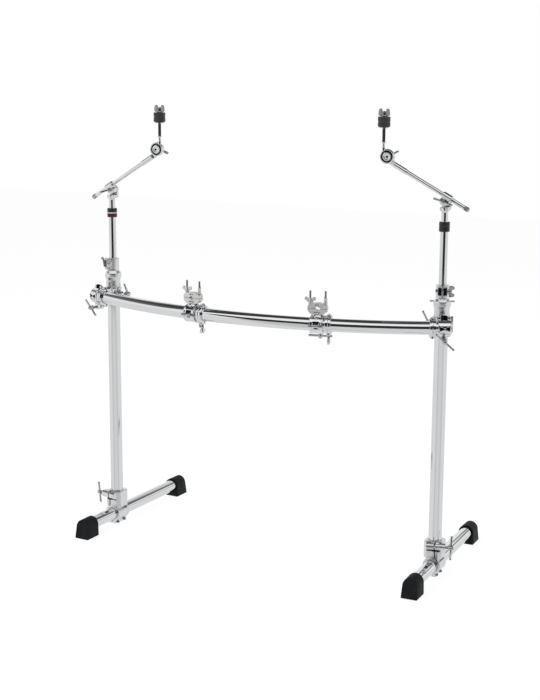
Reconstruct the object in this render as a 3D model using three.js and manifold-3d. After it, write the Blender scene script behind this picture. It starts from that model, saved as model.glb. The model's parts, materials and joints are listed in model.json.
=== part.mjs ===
import * as THREE from 'three';
import { mergeVertices } from 'three/addons/utils/BufferGeometryUtils.js';
import Module from 'manifold-3d';

// A curved drum rack: two uprights on T-legs, one arched bar, a boom arm on each upright, two bar clamps.
// Millimetres and degrees. X runs along the rack, the bar bows towards -Y, Z is up.

// Driving dimensions
const FIT = { gap: 0.3, overrun: 6, slit: 3, weld: 0.0001 };
const FACETS = { tube: 18, bore: 10, mast: 16, rod: 12, screw: 8, arch: 6, barSteps: 24, barTube: 16 };
const TUBE = { radius: 19.05, wall: 1.6 };
const RACK = { uprightSpacing: 1070, barRadius: 1260, barHeight: 744, barOverhang: 20 };
const LEG = { length: 564, socketFloor: 4 };
const FOOT = { length: 57.5, baseHalfWidth: 24.5, wall: 4.5, sole: 17.15, endWall: 4, lean: 6, nose: 2 };
const SIDES = [
  {
    name: 'left', sign: -1, legTurn: 4.3, legOffset: 89.5, mastRise: 127, boomAngle: 32.3,
    barHandle: -36, uprightHandle: 55, legHandle: -18, mastClampTurn: 37, clampPlace: -165,
    clampHandle: 57,
  },
  {
    name: 'right', sign: 1, legTurn: 0, legOffset: 69.5, mastRise: 149, boomAngle: 27.8,
    barHandle: -41.5, uprightHandle: 63, legHandle: -10.5, mastClampTurn: 19, clampPlace: 226,
    clampHandle: 0,
  },
];
const WRAP = {
  shell: 5.15, bite: 4, lugReach: 18, lugDepth: 10, boltInset: 8, knuckle: 4.6, pin: 2.3, knuckleShare: 0.5,
};
const CORNER = {
  tubeSpace: 13.9, barWidth: 36, uprightHeight: 44, barLugWidth: 18, uprightLugWidth: 20, uprightLugRise: 2,
  webWidth: 32, webHeight: 40, headroom: 2,
};
const LOCK = {
  width: 18, shell: 6.6, spacing: 32, lugWidth: 13, lugRise: 5, lugDepth: 15, screw: 3, screwRise: 2,
};
const HANDLE = {
  barRadius: 3.2, barLength: 70, hubRadius: 6.5, hubLength: 16, shankRadius: 4, clearance: 2.4,
};
const LEG_CLAMP = {
  halfWidth: 27, chamfer: 9, height: 54, saddleShell: 6.6, saddleLength: 56, earHalfWidth: 13, earLow: 4.5,
  earHeight: 13, screwRadius: 4.2, screwReach: 18, screwSpacing: 34, boltDistance: 29, boltTurn: 12,
  boltDrop: 13, lugLow: 11, lugHigh: 11, lugDepth: 15, lugInner: 22, lugOuter: 34, slitOffset: 8,
  shankShow: 8,
};
const MAST_CLAMP = {
  sleeveWall: 2.3, sleeveDepth: 27, shoulder: 1, bulge: 25, bulgeHeight: 26, collar: 18.5, collarHeight: 35,
  earHalfWidth: 14, earReach: 27, earInset: 3, earHeight: 26, boltForward: 20, headSize: 14, headDepth: 6,
  crossPin: 3, crossPinReach: 35, crossPinRise: 14, wingTurn: 22,
};
const MAST = { radius: 11.1, wall: 1.2, length: 370, bandRadius: 15, bandHeight: 27 };
const WING = {
  shank: 3, hub: 6.2, hubLength: 10, span: 18, longSpan: 29, rise: 17, thickness: 4, root: 2, tip: 7,
  standOff: 0.4,
};
const BOOM_TILTER = {
  neckRadius: 9.525, neckDepth: 40, pivotRise: 57.6, disc: 14, discDepth: 8.7, plane: 9, rodRise: 12,
  eye: 10.6, eyeHalfLength: 14, cheekHalfWidth: 12, plateHalfWidth: 13, seatTop: 16, seatDepth: 10,
  seatHalfWidth: 12, frontCut: 10.4, slit: 2, wingDrop: 18,
};
const BOOM = { radius: 6.35, tailLength: 73, reach: 205.6, chamfer: 1.5 };
const CYMBAL_TILTER = {
  rise: 10, sleeve: 8, sleeveNear: 27, sleeveFar: 73, backDisc: 19, frontDisc: 21, depth: 9, boss: 12,
  bossDepth: 2, linkNear: 4, linkHalfHeight: 7, collar: 4.7, collarLow: 14, collarHigh: 25, rodInset: 11,
  rodForward: 5.2, rod: 4, sleeveStart: 40, plastic: 4.7, seat: 14, seatHeight: 3, seatTop: 81, wingLift: 30,
};
const FELT = { radius: 17.75, height: 28, groove: 1.5, grooveHeight: 2 };
const NUT = { hub: 8, height: 22, rodLength: 16, span: 17, thickness: 5 };
const BAR_CLAMP = {
  width: 38, lugWidth: 18, shell: 6.9, pedestal: 13, pedestalRise: 2.6, lockGap: 5, lockNeck: 8,
  lockWidth: 16, boltRadius: 3.6, boltReach: 24, wingHalfWidth: 12, wingHeight: 12,
};
const JAW = {
  halfWidth: 28, depth: 20, height: 33, corner: 12, notchHalfWidth: 9, notchRise: 6, postSpacing: 44,
  postRadius: 3, postRise: 33, nutHub: 6, nutHeight: 20,
};
const COLOURS = { chrome: 0xd9dcde, rubber: 0x1c1e21, felt: 0x1a1a1a };

// Sizes that follow from the ones above
const tubeBore = TUBE.radius + FIT.gap;
const halfSpacing = RACK.uprightSpacing / 2;
const clampOffset = TUBE.radius * 2 + CORNER.tubeSpace;
const clampAngle = Math.asin(halfSpacing / (RACK.barRadius - clampOffset));
const arcCentreY = (RACK.barRadius - clampOffset) * Math.cos(clampAngle);
const barEndAngle = clampAngle + RACK.barOverhang / RACK.barRadius;
const barStep = barEndAngle * 2 / FACETS.barSteps;
const barSag = RACK.barRadius * (1 - Math.cos(barStep / 2)) + BAR_CLAMP.width ** 2 / (RACK.barRadius * 8);
const barBore = tubeBore + barSag;
const legHeight = FOOT.sole + tubeBore;
const legTubeLength = LEG.length - (FOOT.lean + FOOT.endWall + FIT.gap) * 2;
const uprightBottom = legHeight + tubeBore + LEG.socketFloor;
const sleeveBottom = RACK.barHeight + CORNER.uprightHeight / 2 + CORNER.headroom;
const uprightTop = sleeveBottom + MAST_CLAMP.sleeveDepth;
const mastClampTop = uprightTop + MAST_CLAMP.shoulder + MAST_CLAMP.bulgeHeight + MAST_CLAMP.collarHeight;
const wrapRadius = tubeBore + WRAP.shell;
const hingeReach = wrapRadius + WRAP.knuckle + FIT.gap * 2;
const lugReach = wrapRadius + WRAP.lugReach;
const boltReach = lugReach - WRAP.boltInset;
const lockRadius = tubeBore + LOCK.shell;
const handlePlane = HANDLE.clearance + HANDLE.barRadius;
const legClampTop = uprightBottom - LEG.socketFloor + LEG_CLAMP.height;

// Geometry helpers

const wasm = await Module();
wasm.setup();

const radians = (degrees) => THREE.MathUtils.degToRad(degrees);

/** Merged vertices, no needless triangles, faces outwards. */
function closed(geometry) {
  const bare = geometry.clone();
  bare.deleteAttribute('normal');
  bare.deleteAttribute('uv');
  const merged = mergeVertices(bare, FIT.weld);
  const corners = merged.index.array;
  const points = merged.attributes.position;
  const [a, b, c] = [new THREE.Vector3(), new THREE.Vector3(), new THREE.Vector3()];
  const kept = [];
  let volume = 0;
  for (let i = 0; i < corners.length; i += 3) {
    const triangle = [corners[i], corners[i + 1], corners[i + 2]];
    if (new Set(triangle).size === 3) {
      kept.push(...triangle);
      a.fromBufferAttribute(points, triangle[0]);
      b.fromBufferAttribute(points, triangle[1]);
      c.fromBufferAttribute(points, triangle[2]);
      volume += a.dot(b.cross(c));
    }
  }
  if (volume < 0) kept.reverse();
  merged.setIndex(new THREE.BufferAttribute(new Uint32Array(kept), 1));
  return merged;
}

function toSolid(geometry) {
  const mesh = closed(geometry);
  const vertProperties = new Float32Array(mesh.attributes.position.array);
  return new wasm.Manifold(new wasm.Mesh({ numProp: 3, vertProperties, triVerts: mesh.index.array }));
}

function toGeometry(solid) {
  const mesh = solid.getMesh();
  const geometry = new THREE.BufferGeometry();
  geometry.setAttribute('position', new THREE.BufferAttribute(mesh.vertProperties, 3));
  geometry.setIndex(new THREE.BufferAttribute(mesh.triVerts, 1));
  return geometry;
}

const join = (...pieces) => toGeometry(pieces.map(toSolid).reduce((a, b) => a.add(b)));
const cut = (body, ...tools) => toGeometry(tools.map(toSolid).reduce((a, b) => a.subtract(b), toSolid(body)));
const common = (body, tool) => toGeometry(toSolid(body).intersect(toSolid(tool)));
const at = (geometry, x, y, z) => geometry.translate(x, y, z);

/** Turns a shape made along Y so that it runs along the named axis. */
const ALONG = {
  x: (geometry) => geometry.rotateZ(-Math.PI / 2),
  y: (geometry) => geometry,
  z: (geometry) => geometry.rotateX(Math.PI / 2),
};

function rod(axis, radius, low, high, facets = FACETS.rod) {
  const geometry = new THREE.CylinderGeometry(radius, radius, high - low, facets);
  return ALONG[axis](at(geometry, 0, (low + high) / 2, 0));
}

/** A cutter whose flats, not its corners, lie at the radius. */
function bore(axis, radius, low, high, facets = FACETS.rod) {
  return rod(axis, radius / Math.cos(Math.PI / facets), low, high, facets);
}

function block(xLow, xHigh, yLow, yHigh, zLow, zHigh) {
  const geometry = new THREE.BoxGeometry(xHigh - xLow, yHigh - yLow, zHigh - zLow);
  return at(geometry, (xLow + xHigh) / 2, (yLow + yHigh) / 2, (zLow + zHigh) / 2);
}

/** A profile of [radius, height] points turned about Z. */
function turned(profile, facets) {
  const points = profile.map(([radius, height]) => new THREE.Vector2(radius, height));
  return closed(ALONG.z(new THREE.LatheGeometry(points, facets)));
}

function tube(axis, outer, inner, low, high, facets = FACETS.tube) {
  const corners = [[inner, low], [outer, low], [outer, high], [inner, high], [inner, low]];
  const points = corners.map(([radius, height]) => new THREE.Vector2(radius, height));
  return closed(ALONG[axis](new THREE.LatheGeometry(points, facets)));
}

/** An outline of [x, z] points made solid from yLow to yHigh. */
function slab(outline, yLow, yHigh) {
  const shape = new THREE.Shape(outline.map(([x, z]) => new THREE.Vector2(x, z)));
  const geometry = new THREE.ExtrudeGeometry(shape, { depth: yHigh - yLow, bevelEnabled: false });
  return geometry.rotateX(Math.PI / 2).translate(0, yHigh, 0);
}

/** Skin over two outlines with the same number of points, closed by a fan at each end. */
function lofted(first, last) {
  const count = first.length;
  const total = (loop) => loop.reduce((sum, point) => sum.add(point), new THREE.Vector3());
  const centre = (loop) => total(loop).divideScalar(count);
  const points = [...first, ...last, centre(first), centre(last)];
  const faces = [];
  for (let i = 0; i < count; i += 1) {
    const next = (i + 1) % count;
    faces.push(i, next, count + i, next, count + next, count + i);
    faces.push(i, count * 2, next, count + i, count + next, count * 2 + 1);
  }
  const geometry = new THREE.BufferGeometry().setFromPoints(points);
  geometry.setIndex(faces);
  return closed(geometry);
}

/** Moves a shape so that its X, Y and Z run along the three given directions. */
function along(geometry, x, y, z) {
  const axes = [x, y, z].map((direction) => new THREE.Vector3(...direction));
  return geometry.applyMatrix4(new THREE.Matrix4().makeBasis(...axes));
}

// Legs and feet

function footOutline(halfWidth, atHeight) {
  const top = legHeight + tubeBore + FOOT.wall;
  const points = [[-FOOT.baseHalfWidth, 0], [FOOT.baseHalfWidth, 0]];
  for (let i = 0; i <= FACETS.arch; i += 1) {
    const angle = Math.PI * i / FACETS.arch;
    points.push([halfWidth * Math.cos(angle), legHeight + (top - legHeight) * Math.sin(angle)]);
  }
  return points.map(([x, z]) => new THREE.Vector3(x, atHeight(z / top), z));
}

/** Rubber foot: mouth at y = 0, closed nose towards +Y, sole at z = 0. */
function footGeometry() {
  const mouth = tubeBore + FOOT.wall;
  const rear = footOutline(mouth, () => 0);
  const nose = footOutline(mouth - FOOT.nose, (rise) => FOOT.length - FOOT.lean * rise);
  const depth = FOOT.length - FOOT.lean - FOOT.endWall;
  const socket = at(bore('y', tubeBore, -FIT.overrun, depth, FACETS.tube), 0, 0, legHeight);
  return cut(lofted(rear, nose), socket);
}

function legTubeGeometry() {
  const half = legTubeLength / 2;
  return at(tube('y', TUBE.radius, TUBE.radius - TUBE.wall, -half, half), 0, 0, legHeight);
}

const legBoltHeight = legClampTop - LEG_CLAMP.boltDrop;

/** Turns a shape made along X so that it follows the tangent screw on the front of the leg clamp. */
function onLegBolt(geometry) {
  const turnedAbout = geometry.rotateZ(radians(LEG_CLAMP.boltTurn));
  return at(turnedAbout, 0, 0, legBoltHeight);
}

function octagon(halfWidth, chamfer) {
  const inner = halfWidth - chamfer;
  return [
    [inner, -halfWidth], [halfWidth, -inner], [halfWidth, inner], [inner, halfWidth],
    [-inner, halfWidth], [-halfWidth, inner], [-halfWidth, -inner], [-inner, -halfWidth],
  ];
}

function legClampGeometry() {
  const size = LEG_CLAMP;
  const saddle = tubeBore + size.saddleShell;
  const half = size.saddleLength / 2;
  const socketBottom = legHeight + TUBE.radius / 2;
  const corners = octagon(size.halfWidth, size.chamfer).map(([x, y]) => new THREE.Vector2(x, y));
  const shape = new THREE.Shape(corners);
  const depth = legClampTop - socketBottom;
  const socket = at(new THREE.ExtrudeGeometry(shape, { depth, bevelEnabled: false }), 0, 0, socketBottom);
  const lugBack = -(size.boltDistance - size.lugDepth / 2 - FIT.slit);
  const lugFront = -(size.boltDistance + size.lugDepth / 2);
  const lug = onLegBolt(block(-size.lugInner, size.lugOuter, lugFront, lugBack, -size.lugLow, size.lugHigh));
  const earTop = size.earLow + size.earHeight;
  const ears = block(-size.earHalfWidth, size.earHalfWidth, -half, half, size.earLow, earTop);
  const screws = [-1, 1].map((end) => at(
    rod('x', size.screwRadius, -size.screwReach, size.screwReach, FACETS.screw),
    0, end * size.screwSpacing / 2, size.earLow + size.screwRadius,
  ));
  const body = join(
    at(rod('y', saddle, -half, half, FACETS.tube), 0, 0, legHeight), socket, lug, ears, ...screws,
  );
  const far = size.halfWidth * 2;
  return cut(
    body,
    bore('z', tubeBore, uprightBottom - FIT.gap, legClampTop + FIT.overrun, FACETS.tube),
    at(bore('y', tubeBore, -half - FIT.overrun, half + FIT.overrun, FACETS.tube), 0, 0, legHeight),
    block(size.slitOffset, size.slitOffset + FIT.slit, -far, 0, uprightBottom, legClampTop + FIT.overrun),
    block(-FIT.slit / 2, FIT.slit / 2, -half - FIT.overrun, half + FIT.overrun, -FIT.overrun, legHeight / 2),
    onLegBolt(at(
      bore('x', HANDLE.shankRadius + FIT.gap, -size.lugOuter, far, FACETS.screw), 0, -size.boltDistance, 0,
    )),
  );
}

// T-handled and winged screws

/** Screw axis along +Z, hub from z = 0, shank below, cross bar along X. */
function handleGeometry(shankLength) {
  const hub = rod('z', HANDLE.hubRadius, 0, HANDLE.hubLength, FACETS.rod);
  const shank = rod('z', HANDLE.shankRadius, -shankLength, FIT.overrun, FACETS.screw);
  const half = HANDLE.barLength / 2;
  const bar = at(rod('x', HANDLE.barRadius, -half, half, FACETS.screw), 0, 0, HANDLE.hubLength / 2);
  return join(hub, shank, bar);
}

/** The butterfly outline of a wing screw or wing nut, in the XZ plane. */
function wingOutline(span, rise, tip) {
  const right = [
    [span - tip, 0], [span, rise - tip], [span, rise], [span - tip / 2, rise], [tip / 2, rise / 2],
  ];
  const left = right.map(([x, z]) => [-x, z]).reverse();
  return [...right, ...left];
}

/** Screw axis along +Z, hub from z = 0, wings above it. */
function wingScrewGeometry(shankLength, span = WING.longSpan) {
  const hub = rod('z', WING.hub, 0, WING.hubLength, FACETS.rod);
  const shank = rod('z', WING.shank, -shankLength, FIT.overrun, FACETS.screw);
  const wings = slab(wingOutline(span, WING.rise, WING.tip), -WING.thickness / 2, WING.thickness / 2);
  return join(hub, shank, at(wings, 0, 0, WING.root));
}

// Hinged wraps: the tube runs along Z, the split lies in y = 0, the hinge is at +X and the lug at -X

function halfShell(front, width, radius) {
  const half = width / 2;
  const far = lugReach * 2;
  const [yLow, yHigh] = front ? [-far, -FIT.slit / 2] : [FIT.slit / 2, far];
  return common(rod('z', radius, -half, half, FACETS.tube), block(-far, far, yLow, yHigh, -far, far));
}

function lug(front, radius, reach, lugAt, lugWidth) {
  const near = FIT.slit / 2;
  const deep = near + WRAP.lugDepth;
  const [yLow, yHigh] = front ? [-deep, -near] : [near, deep];
  return block(-reach, -radius + WRAP.bite, yLow, yHigh, lugAt - lugWidth / 2, lugAt + lugWidth / 2);
}

function knuckle(front, radius, reach, low, high) {
  const near = FIT.slit / 2;
  const [yLow, yHigh] = front ? [-WRAP.knuckle, -near] : [near, WRAP.knuckle];
  const link = block(radius - WRAP.bite, reach, yLow, yHigh, low, high);
  return join(at(rod('z', WRAP.knuckle, low, high, FACETS.screw), reach, 0, 0), link);
}

/** The half that carries the hinge pin. */
function fixedHalf(width, lugAt, lugWidth, radius = wrapRadius) {
  const grow = radius - wrapRadius;
  const middle = width * WRAP.knuckleShare / 2;
  const pin = at(rod('z', WRAP.pin, -width / 2, width / 2, FACETS.screw), hingeReach + grow, 0, 0);
  return join(
    halfShell(true, width, radius),
    lug(true, radius, lugReach + grow, lugAt, lugWidth),
    knuckle(true, radius, hingeReach + grow, -middle, middle),
    pin,
  );
}

/** The strap that swings on the pin. */
function strapHalf(width, lugAt, lugWidth, innerRadius, radius = wrapRadius) {
  const grow = radius - wrapRadius;
  const middle = width * WRAP.knuckleShare / 2 + FIT.gap;
  const body = join(
    halfShell(false, width, radius),
    lug(false, radius, lugReach + grow, lugAt, lugWidth),
    knuckle(false, radius, hingeReach + grow, middle, width / 2),
    knuckle(false, radius, hingeReach + grow, -width / 2, -middle),
  );
  const boltHole = bore('y', HANDLE.shankRadius + FIT.gap, -lugReach, lugReach, FACETS.screw);
  return cut(
    body,
    bore('z', innerRadius, -width, width, FACETS.tube),
    at(bore('z', WRAP.pin + FIT.gap, -width, width, FACETS.screw), hingeReach + grow, 0, 0),
    at(boltHole, -boltReach - grow, 0, lugAt),
  );
}

/** Turns a wrap so that its tube runs along X with the strap in front and the hinge on top. */
const ontoBar = (geometry) => along(geometry, [0, 0, 1], [0, -1, 0], [1, 0, 0]);
/** Turns a wrap so that its tube runs along X with the strap beneath and the hinge in front. */
const underBar = (geometry) => along(geometry, [0, -1, 0], [0, 0, -1], [1, 0, 0]);

/** Corner clamp: upright axis at the origin, bar axis in front of it, z = 0 at the bar. */
function cornerBodyGeometry() {
  const size = CORNER;
  const upright = fixedHalf(size.uprightHeight, size.uprightLugRise, size.uprightLugWidth);
  const bar = at(ontoBar(fixedHalf(size.barWidth, 0, size.barLugWidth)), 0, -clampOffset, 0);
  const near = FIT.slit / 2;
  const web = block(
    -size.webWidth / 2, size.webWidth / 2, -clampOffset + near, -near,
    -size.webHeight / 2, size.webHeight / 2,
  );
  const far = clampOffset * 2;
  const shank = HANDLE.shankRadius + FIT.gap;
  return cut(
    join(upright, bar, web),
    bore('z', tubeBore, -far, far, FACETS.tube),
    at(bore('x', barBore, -far, far, FACETS.tube), 0, -clampOffset, 0),
    at(bore('y', shank, -WRAP.lugDepth * 2, 0, FACETS.screw), -boltReach, 0, size.uprightLugRise),
    at(bore('y', shank, -WRAP.lugDepth, WRAP.lugDepth * 2, FACETS.screw), 0, -clampOffset, -boltReach),
  );
}

function uprightStrapGeometry() {
  return strapHalf(CORNER.uprightHeight, CORNER.uprightLugRise, CORNER.uprightLugWidth, tubeBore);
}

function barStrapGeometry() {
  return at(ontoBar(strapHalf(CORNER.barWidth, 0, CORNER.barLugWidth, barBore)), 0, -clampOffset, 0);
}

/** Split ring on the bar, with a lug and screw above and below; the bar axis is X. */
function lockRing(width, radius) {
  const top = radius + LOCK.lugRise;
  const half = LOCK.lugWidth / 2;
  const ring = rod('x', radius, -width / 2, width / 2, FACETS.tube);
  const lugs = block(-half, half, -LOCK.lugDepth / 2, LOCK.lugDepth / 2, -top, top);
  const screwReach = LOCK.lugDepth / 2 + LOCK.screwRise;
  const screws = [-1, 1].map((end) => at(
    rod('y', LOCK.screw, -screwReach, screwReach, FACETS.screw), 0, 0, end * (radius + LOCK.lugRise / 2),
  ));
  return join(ring, lugs, ...screws);
}

function memoryLockGeometry() {
  const far = lockRadius * 2;
  return cut(
    lockRing(LOCK.width, lockRadius),
    bore('x', barBore, -far, far, FACETS.tube),
    block(-far, far, -FIT.slit / 2, FIT.slit / 2, 0, far),
  );
}

// Curved bar

class BarArc extends THREE.Curve {
  getPoint(share, target = new THREE.Vector3()) {
    const angle = (share * 2 - 1) * barEndAngle;
    return target.set(RACK.barRadius * Math.sin(angle), arcCentreY - RACK.barRadius * Math.cos(angle), 0);
  }
}

function circlePoints(radius, facets) {
  return Array.from({ length: facets }, (_, i) => {
    const angle = Math.PI * 2 * i / facets;
    return new THREE.Vector2(radius * Math.cos(angle), radius * Math.sin(angle));
  });
}

function curvedBarGeometry() {
  const shape = new THREE.Shape(circlePoints(TUBE.radius, FACETS.barTube));
  shape.holes.push(new THREE.Path(circlePoints(TUBE.radius - TUBE.wall, FACETS.bore)));
  const sweep = { extrudePath: new BarArc(), steps: FACETS.barSteps, bevelEnabled: false };
  return new THREE.ExtrudeGeometry(shape, sweep);
}

// Mast clamp and mast

const mastBore = MAST.radius + FIT.gap;
const collarBottom = uprightTop + MAST_CLAMP.shoulder + MAST_CLAMP.bulgeHeight;
const mastBoltHeight = mastClampTop - MAST_CLAMP.earInset - MAST_CLAMP.earHeight / 2;

function mastClampGeometry() {
  const size = MAST_CLAMP;
  const sleeve = tubeBore + size.sleeveWall;
  const shoulder = uprightTop + size.shoulder;
  const slope = (size.bulge - sleeve);
  const casting = turned([
    [0, sleeveBottom], [sleeve, sleeveBottom], [sleeve, shoulder - slope], [size.bulge, shoulder + slope],
    [size.bulge, collarBottom - slope * 2], [size.collar, collarBottom], [size.collar, mastClampTop],
    [0, mastClampTop],
  ], FACETS.tube);
  const earLow = mastBoltHeight - size.earHeight / 2;
  const earHigh = mastBoltHeight + size.earHeight / 2;
  const ears = block(-size.earHalfWidth, size.earHalfWidth, -size.earReach, -mastBore, earLow, earHigh);
  const headHalf = size.headSize / 2;
  const head = at(
    block(-size.headDepth - size.earHalfWidth, -size.earHalfWidth, -headHalf, headHalf, -headHalf, headHalf),
    0, -size.boltForward, mastBoltHeight,
  );
  const pins = at(
    rod('x', size.crossPin, -size.crossPinReach, size.crossPinReach, FACETS.screw),
    0, 0, shoulder + size.crossPinRise,
  );
  const far = size.bulge * 2;
  const boltHole = bore('x', WING.shank + FIT.gap, -size.earHalfWidth, far, FACETS.screw);
  return cut(
    join(casting, ears, head, pins),
    bore('z', tubeBore, sleeveBottom - FIT.overrun, uprightTop + FIT.gap, FACETS.tube),
    bore('z', mastBore, sleeveBottom, mastClampTop + FIT.overrun, FACETS.mast),
    block(-FIT.slit / 2, FIT.slit / 2, -far, 0, collarBottom, mastClampTop + FIT.overrun),
    at(boltHole, 0, -size.boltForward, mastBoltHeight),
  );
}

/** Mast tube with its bushing; z = 0 at the foot of the bushing. */
function mastGeometry() {
  const inner = MAST.radius - MAST.wall;
  const low = MAST.bandHeight - MAST.length;
  return turned([
    [inner, low], [MAST.radius, low], [MAST.radius, 0], [MAST.bandRadius, 0],
    [MAST.bandRadius, MAST.bandHeight], [inner, MAST.bandHeight], [inner, low],
  ], FACETS.mast);
}

// Boom tilter: the pivot is the origin and runs along Y, the boom points to -X

function boomTilterBaseGeometry() {
  const size = BOOM_TILTER;
  const front = size.plane + FIT.gap / 2;
  const back = front + size.discDepth;
  const bottom = -size.seatTop - size.seatDepth;
  const neck = rod('z', size.neckRadius, -size.pivotRise - size.neckDepth, -size.seatTop, FACETS.mast);
  const seat = block(-size.seatHalfWidth, size.seatHalfWidth, -size.neckRadius, back, bottom, -size.seatTop);
  const plate = block(-size.plateHalfWidth, size.plateHalfWidth, front, back, bottom, 0);
  const disc = rod('y', size.disc, front, back, FACETS.tube);
  const far = back * 2;
  return cut(join(neck, seat, plate, disc), bore('y', WING.shank + FIT.gap, -far, far, FACETS.screw));
}

function boomTilterHeadGeometry() {
  const size = BOOM_TILTER;
  const plane = size.plane - FIT.gap / 2;
  const disc = rod('y', size.disc, -size.neckRadius, plane, FACETS.tube);
  const cheek = block(
    -size.cheekHalfWidth, size.cheekHalfWidth, -size.frontCut, plane, -size.disc / 2, size.rodRise,
  );
  const eye = at(rod('x', size.eye, -size.eyeHalfLength, size.eyeHalfLength), 0, 0, size.rodRise);
  const far = size.disc * 2;
  const trimmed = common(join(disc, cheek, eye), block(-far, far, -size.frontCut, plane, -far, far));
  return cut(
    trimmed,
    at(bore('x', BOOM.radius + FIT.gap, -far, far), 0, 0, size.rodRise),
    bore('y', WING.shank + FIT.gap, -far, far, FACETS.screw),
    block(-far, far, -size.slit / 2, size.slit / 2, size.rodRise, far),
  );
}

const rodEnd = BOOM.reach - CYMBAL_TILTER.sleeveNear - CYMBAL_TILTER.bossDepth;

function boomRodGeometry() {
  const plain = BOOM.radius - BOOM.chamfer;
  const profile = [
    [0, -rodEnd], [BOOM.radius, -rodEnd], [BOOM.radius, BOOM.tailLength - BOOM.chamfer],
    [plain, BOOM.tailLength], [0, BOOM.tailLength],
  ];
  const geometry = turned(profile, FACETS.rod);
  return at(geometry.rotateY(Math.PI / 2), 0, 0, BOOM_TILTER.rodRise);
}

// Cymbal tilter: the pivot is the origin and runs along Y, the boom comes from +X

function cymbalTilterBaseGeometry() {
  const size = CYMBAL_TILTER;
  const near = FIT.gap / 2;
  const sleeve = at(rod('x', size.sleeve, size.sleeveNear, size.sleeveFar), 0, 0, -size.rise);
  const disc = rod('y', size.backDisc, near, size.depth, FACETS.tube);
  const linkLow = -size.rise - size.linkHalfHeight;
  const linkFar = size.sleeveNear + size.bossDepth;
  const link = block(size.linkNear, linkFar, near, size.sleeve, linkLow, -size.rise + size.linkHalfHeight);
  const far = size.sleeveFar * 2;
  return cut(
    join(sleeve, disc, link),
    at(bore('x', BOOM.radius + FIT.gap, linkFar - FIT.gap, far), 0, 0, -size.rise),
    bore('y', WING.shank + FIT.gap, -far, far, FACETS.screw),
  );
}

const cymbalRodTop = CYMBAL_TILTER.seatTop + FIT.gap + FELT.height + NUT.rodLength;

function cymbalTilterHeadGeometry() {
  const size = CYMBAL_TILTER;
  const near = -FIT.gap / 2;
  const far = size.frontDisc * 2;
  const seatLow = size.seatTop - size.seatHeight;
  const disc = rod('y', size.frontDisc, -size.depth, near, FACETS.tube);
  const boss = rod('y', size.boss, -size.depth - size.bossDepth, -size.depth / 2, FACETS.tube);
  const column = turned([
    [0, size.collarLow], [size.collar, size.collarLow], [size.collar, size.collarHigh],
    [size.rod, size.collarHigh], [size.rod, size.sleeveStart], [size.plastic, size.sleeveStart],
    [size.plastic, seatLow], [size.seat, seatLow], [size.seat, size.seatTop], [size.rod, size.seatTop],
    [size.rod, cymbalRodTop], [0, cymbalRodTop],
  ], FACETS.rod);
  return cut(
    join(disc, boss, at(column, -size.rodInset, -size.rodForward, 0)),
    bore('y', WING.shank + FIT.gap, -far, far, FACETS.screw),
  );
}

/** Two felts with the line between them, bored for the rod; z = 0 underneath. */
function feltGeometry() {
  const inner = CYMBAL_TILTER.rod + FIT.gap * 2;
  const middle = FELT.height / 2;
  const half = FELT.grooveHeight / 2;
  return turned([
    [inner, 0], [FELT.radius, 0], [FELT.radius, middle - half], [FELT.radius - FELT.groove, middle],
    [FELT.radius, middle + half], [FELT.radius, FELT.height], [inner, FELT.height], [inner, 0],
  ], FACETS.mast);
}

/** Wing nut on top of the felts; z = 0 underneath. */
function wingNutGeometry(hub, span, height, inner, thickness) {
  const hubHeight = height / 2;
  const wings = slab(wingOutline(span, height, WING.tip), -thickness / 2, thickness / 2);
  return cut(
    join(rod('z', hub, 0, hubHeight), wings),
    bore('z', inner, -FIT.overrun, height * 2, FACETS.screw),
  );
}

// Bar clamps: the bar axis is the origin and runs along X, the saddle is on top

const barClampRadius = tubeBore + BAR_CLAMP.shell;
const pedestalTop = barClampRadius + BAR_CLAMP.pedestalRise;
const lockPlace = (BAR_CLAMP.width + BAR_CLAMP.lockWidth) / 2 + BAR_CLAMP.lockGap;

/** Moves a shape from the clamp's middle to the lock's place, following the arc of the bar. */
function besideClamp(geometry) {
  const angle = lockPlace / RACK.barRadius;
  const inward = RACK.barRadius * (1 - Math.cos(angle));
  return at(geometry.rotateZ(angle), RACK.barRadius * Math.sin(angle), inward, 0);
}

function barClampBodyGeometry() {
  const size = BAR_CLAMP;
  const saddle = underBar(fixedHalf(size.width, 0, size.lugWidth, barClampRadius));
  const pedestal = rod('z', size.pedestal, TUBE.radius, pedestalTop);
  const neck = block(0, lockPlace, -size.lockNeck, size.lockNeck, tubeBore, barClampRadius);
  const low = -barClampRadius - LOCK.lugRise;
  const screw = rod('z', size.boltRadius, low - size.boltReach, low + FIT.overrun, FACETS.screw);
  const paddle = block(
    -WING.thickness / 2, WING.thickness / 2, -size.wingHalfWidth, size.wingHalfWidth,
    low - size.boltReach, low - size.boltReach + size.wingHeight,
  );
  const lock = [lockRing(size.lockWidth, barClampRadius), screw, paddle].map(besideClamp);
  const far = barClampRadius * 2;
  const half = (size.width + size.lockGap) / 2;
  const lockHalf = (size.lockWidth + size.lockGap) / 2;
  const reach = boltReach + size.shell - WRAP.shell;
  return cut(
    join(saddle, pedestal, neck, ...lock),
    bore('x', barBore, -half, half, FACETS.tube),
    at(bore('z', HANDLE.shankRadius + FIT.gap, -far, far, FACETS.screw), 0, reach, 0),
    besideClamp(bore('x', barBore, -lockHalf, lockHalf, FACETS.tube)),
    besideClamp(block(-lockHalf, lockHalf, -far, 0, -FIT.slit / 2, FIT.slit / 2)),
  );
}

function barClampStrapGeometry() {
  return underBar(strapHalf(BAR_CLAMP.width, 0, BAR_CLAMP.lugWidth, barBore, barClampRadius));
}

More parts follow.
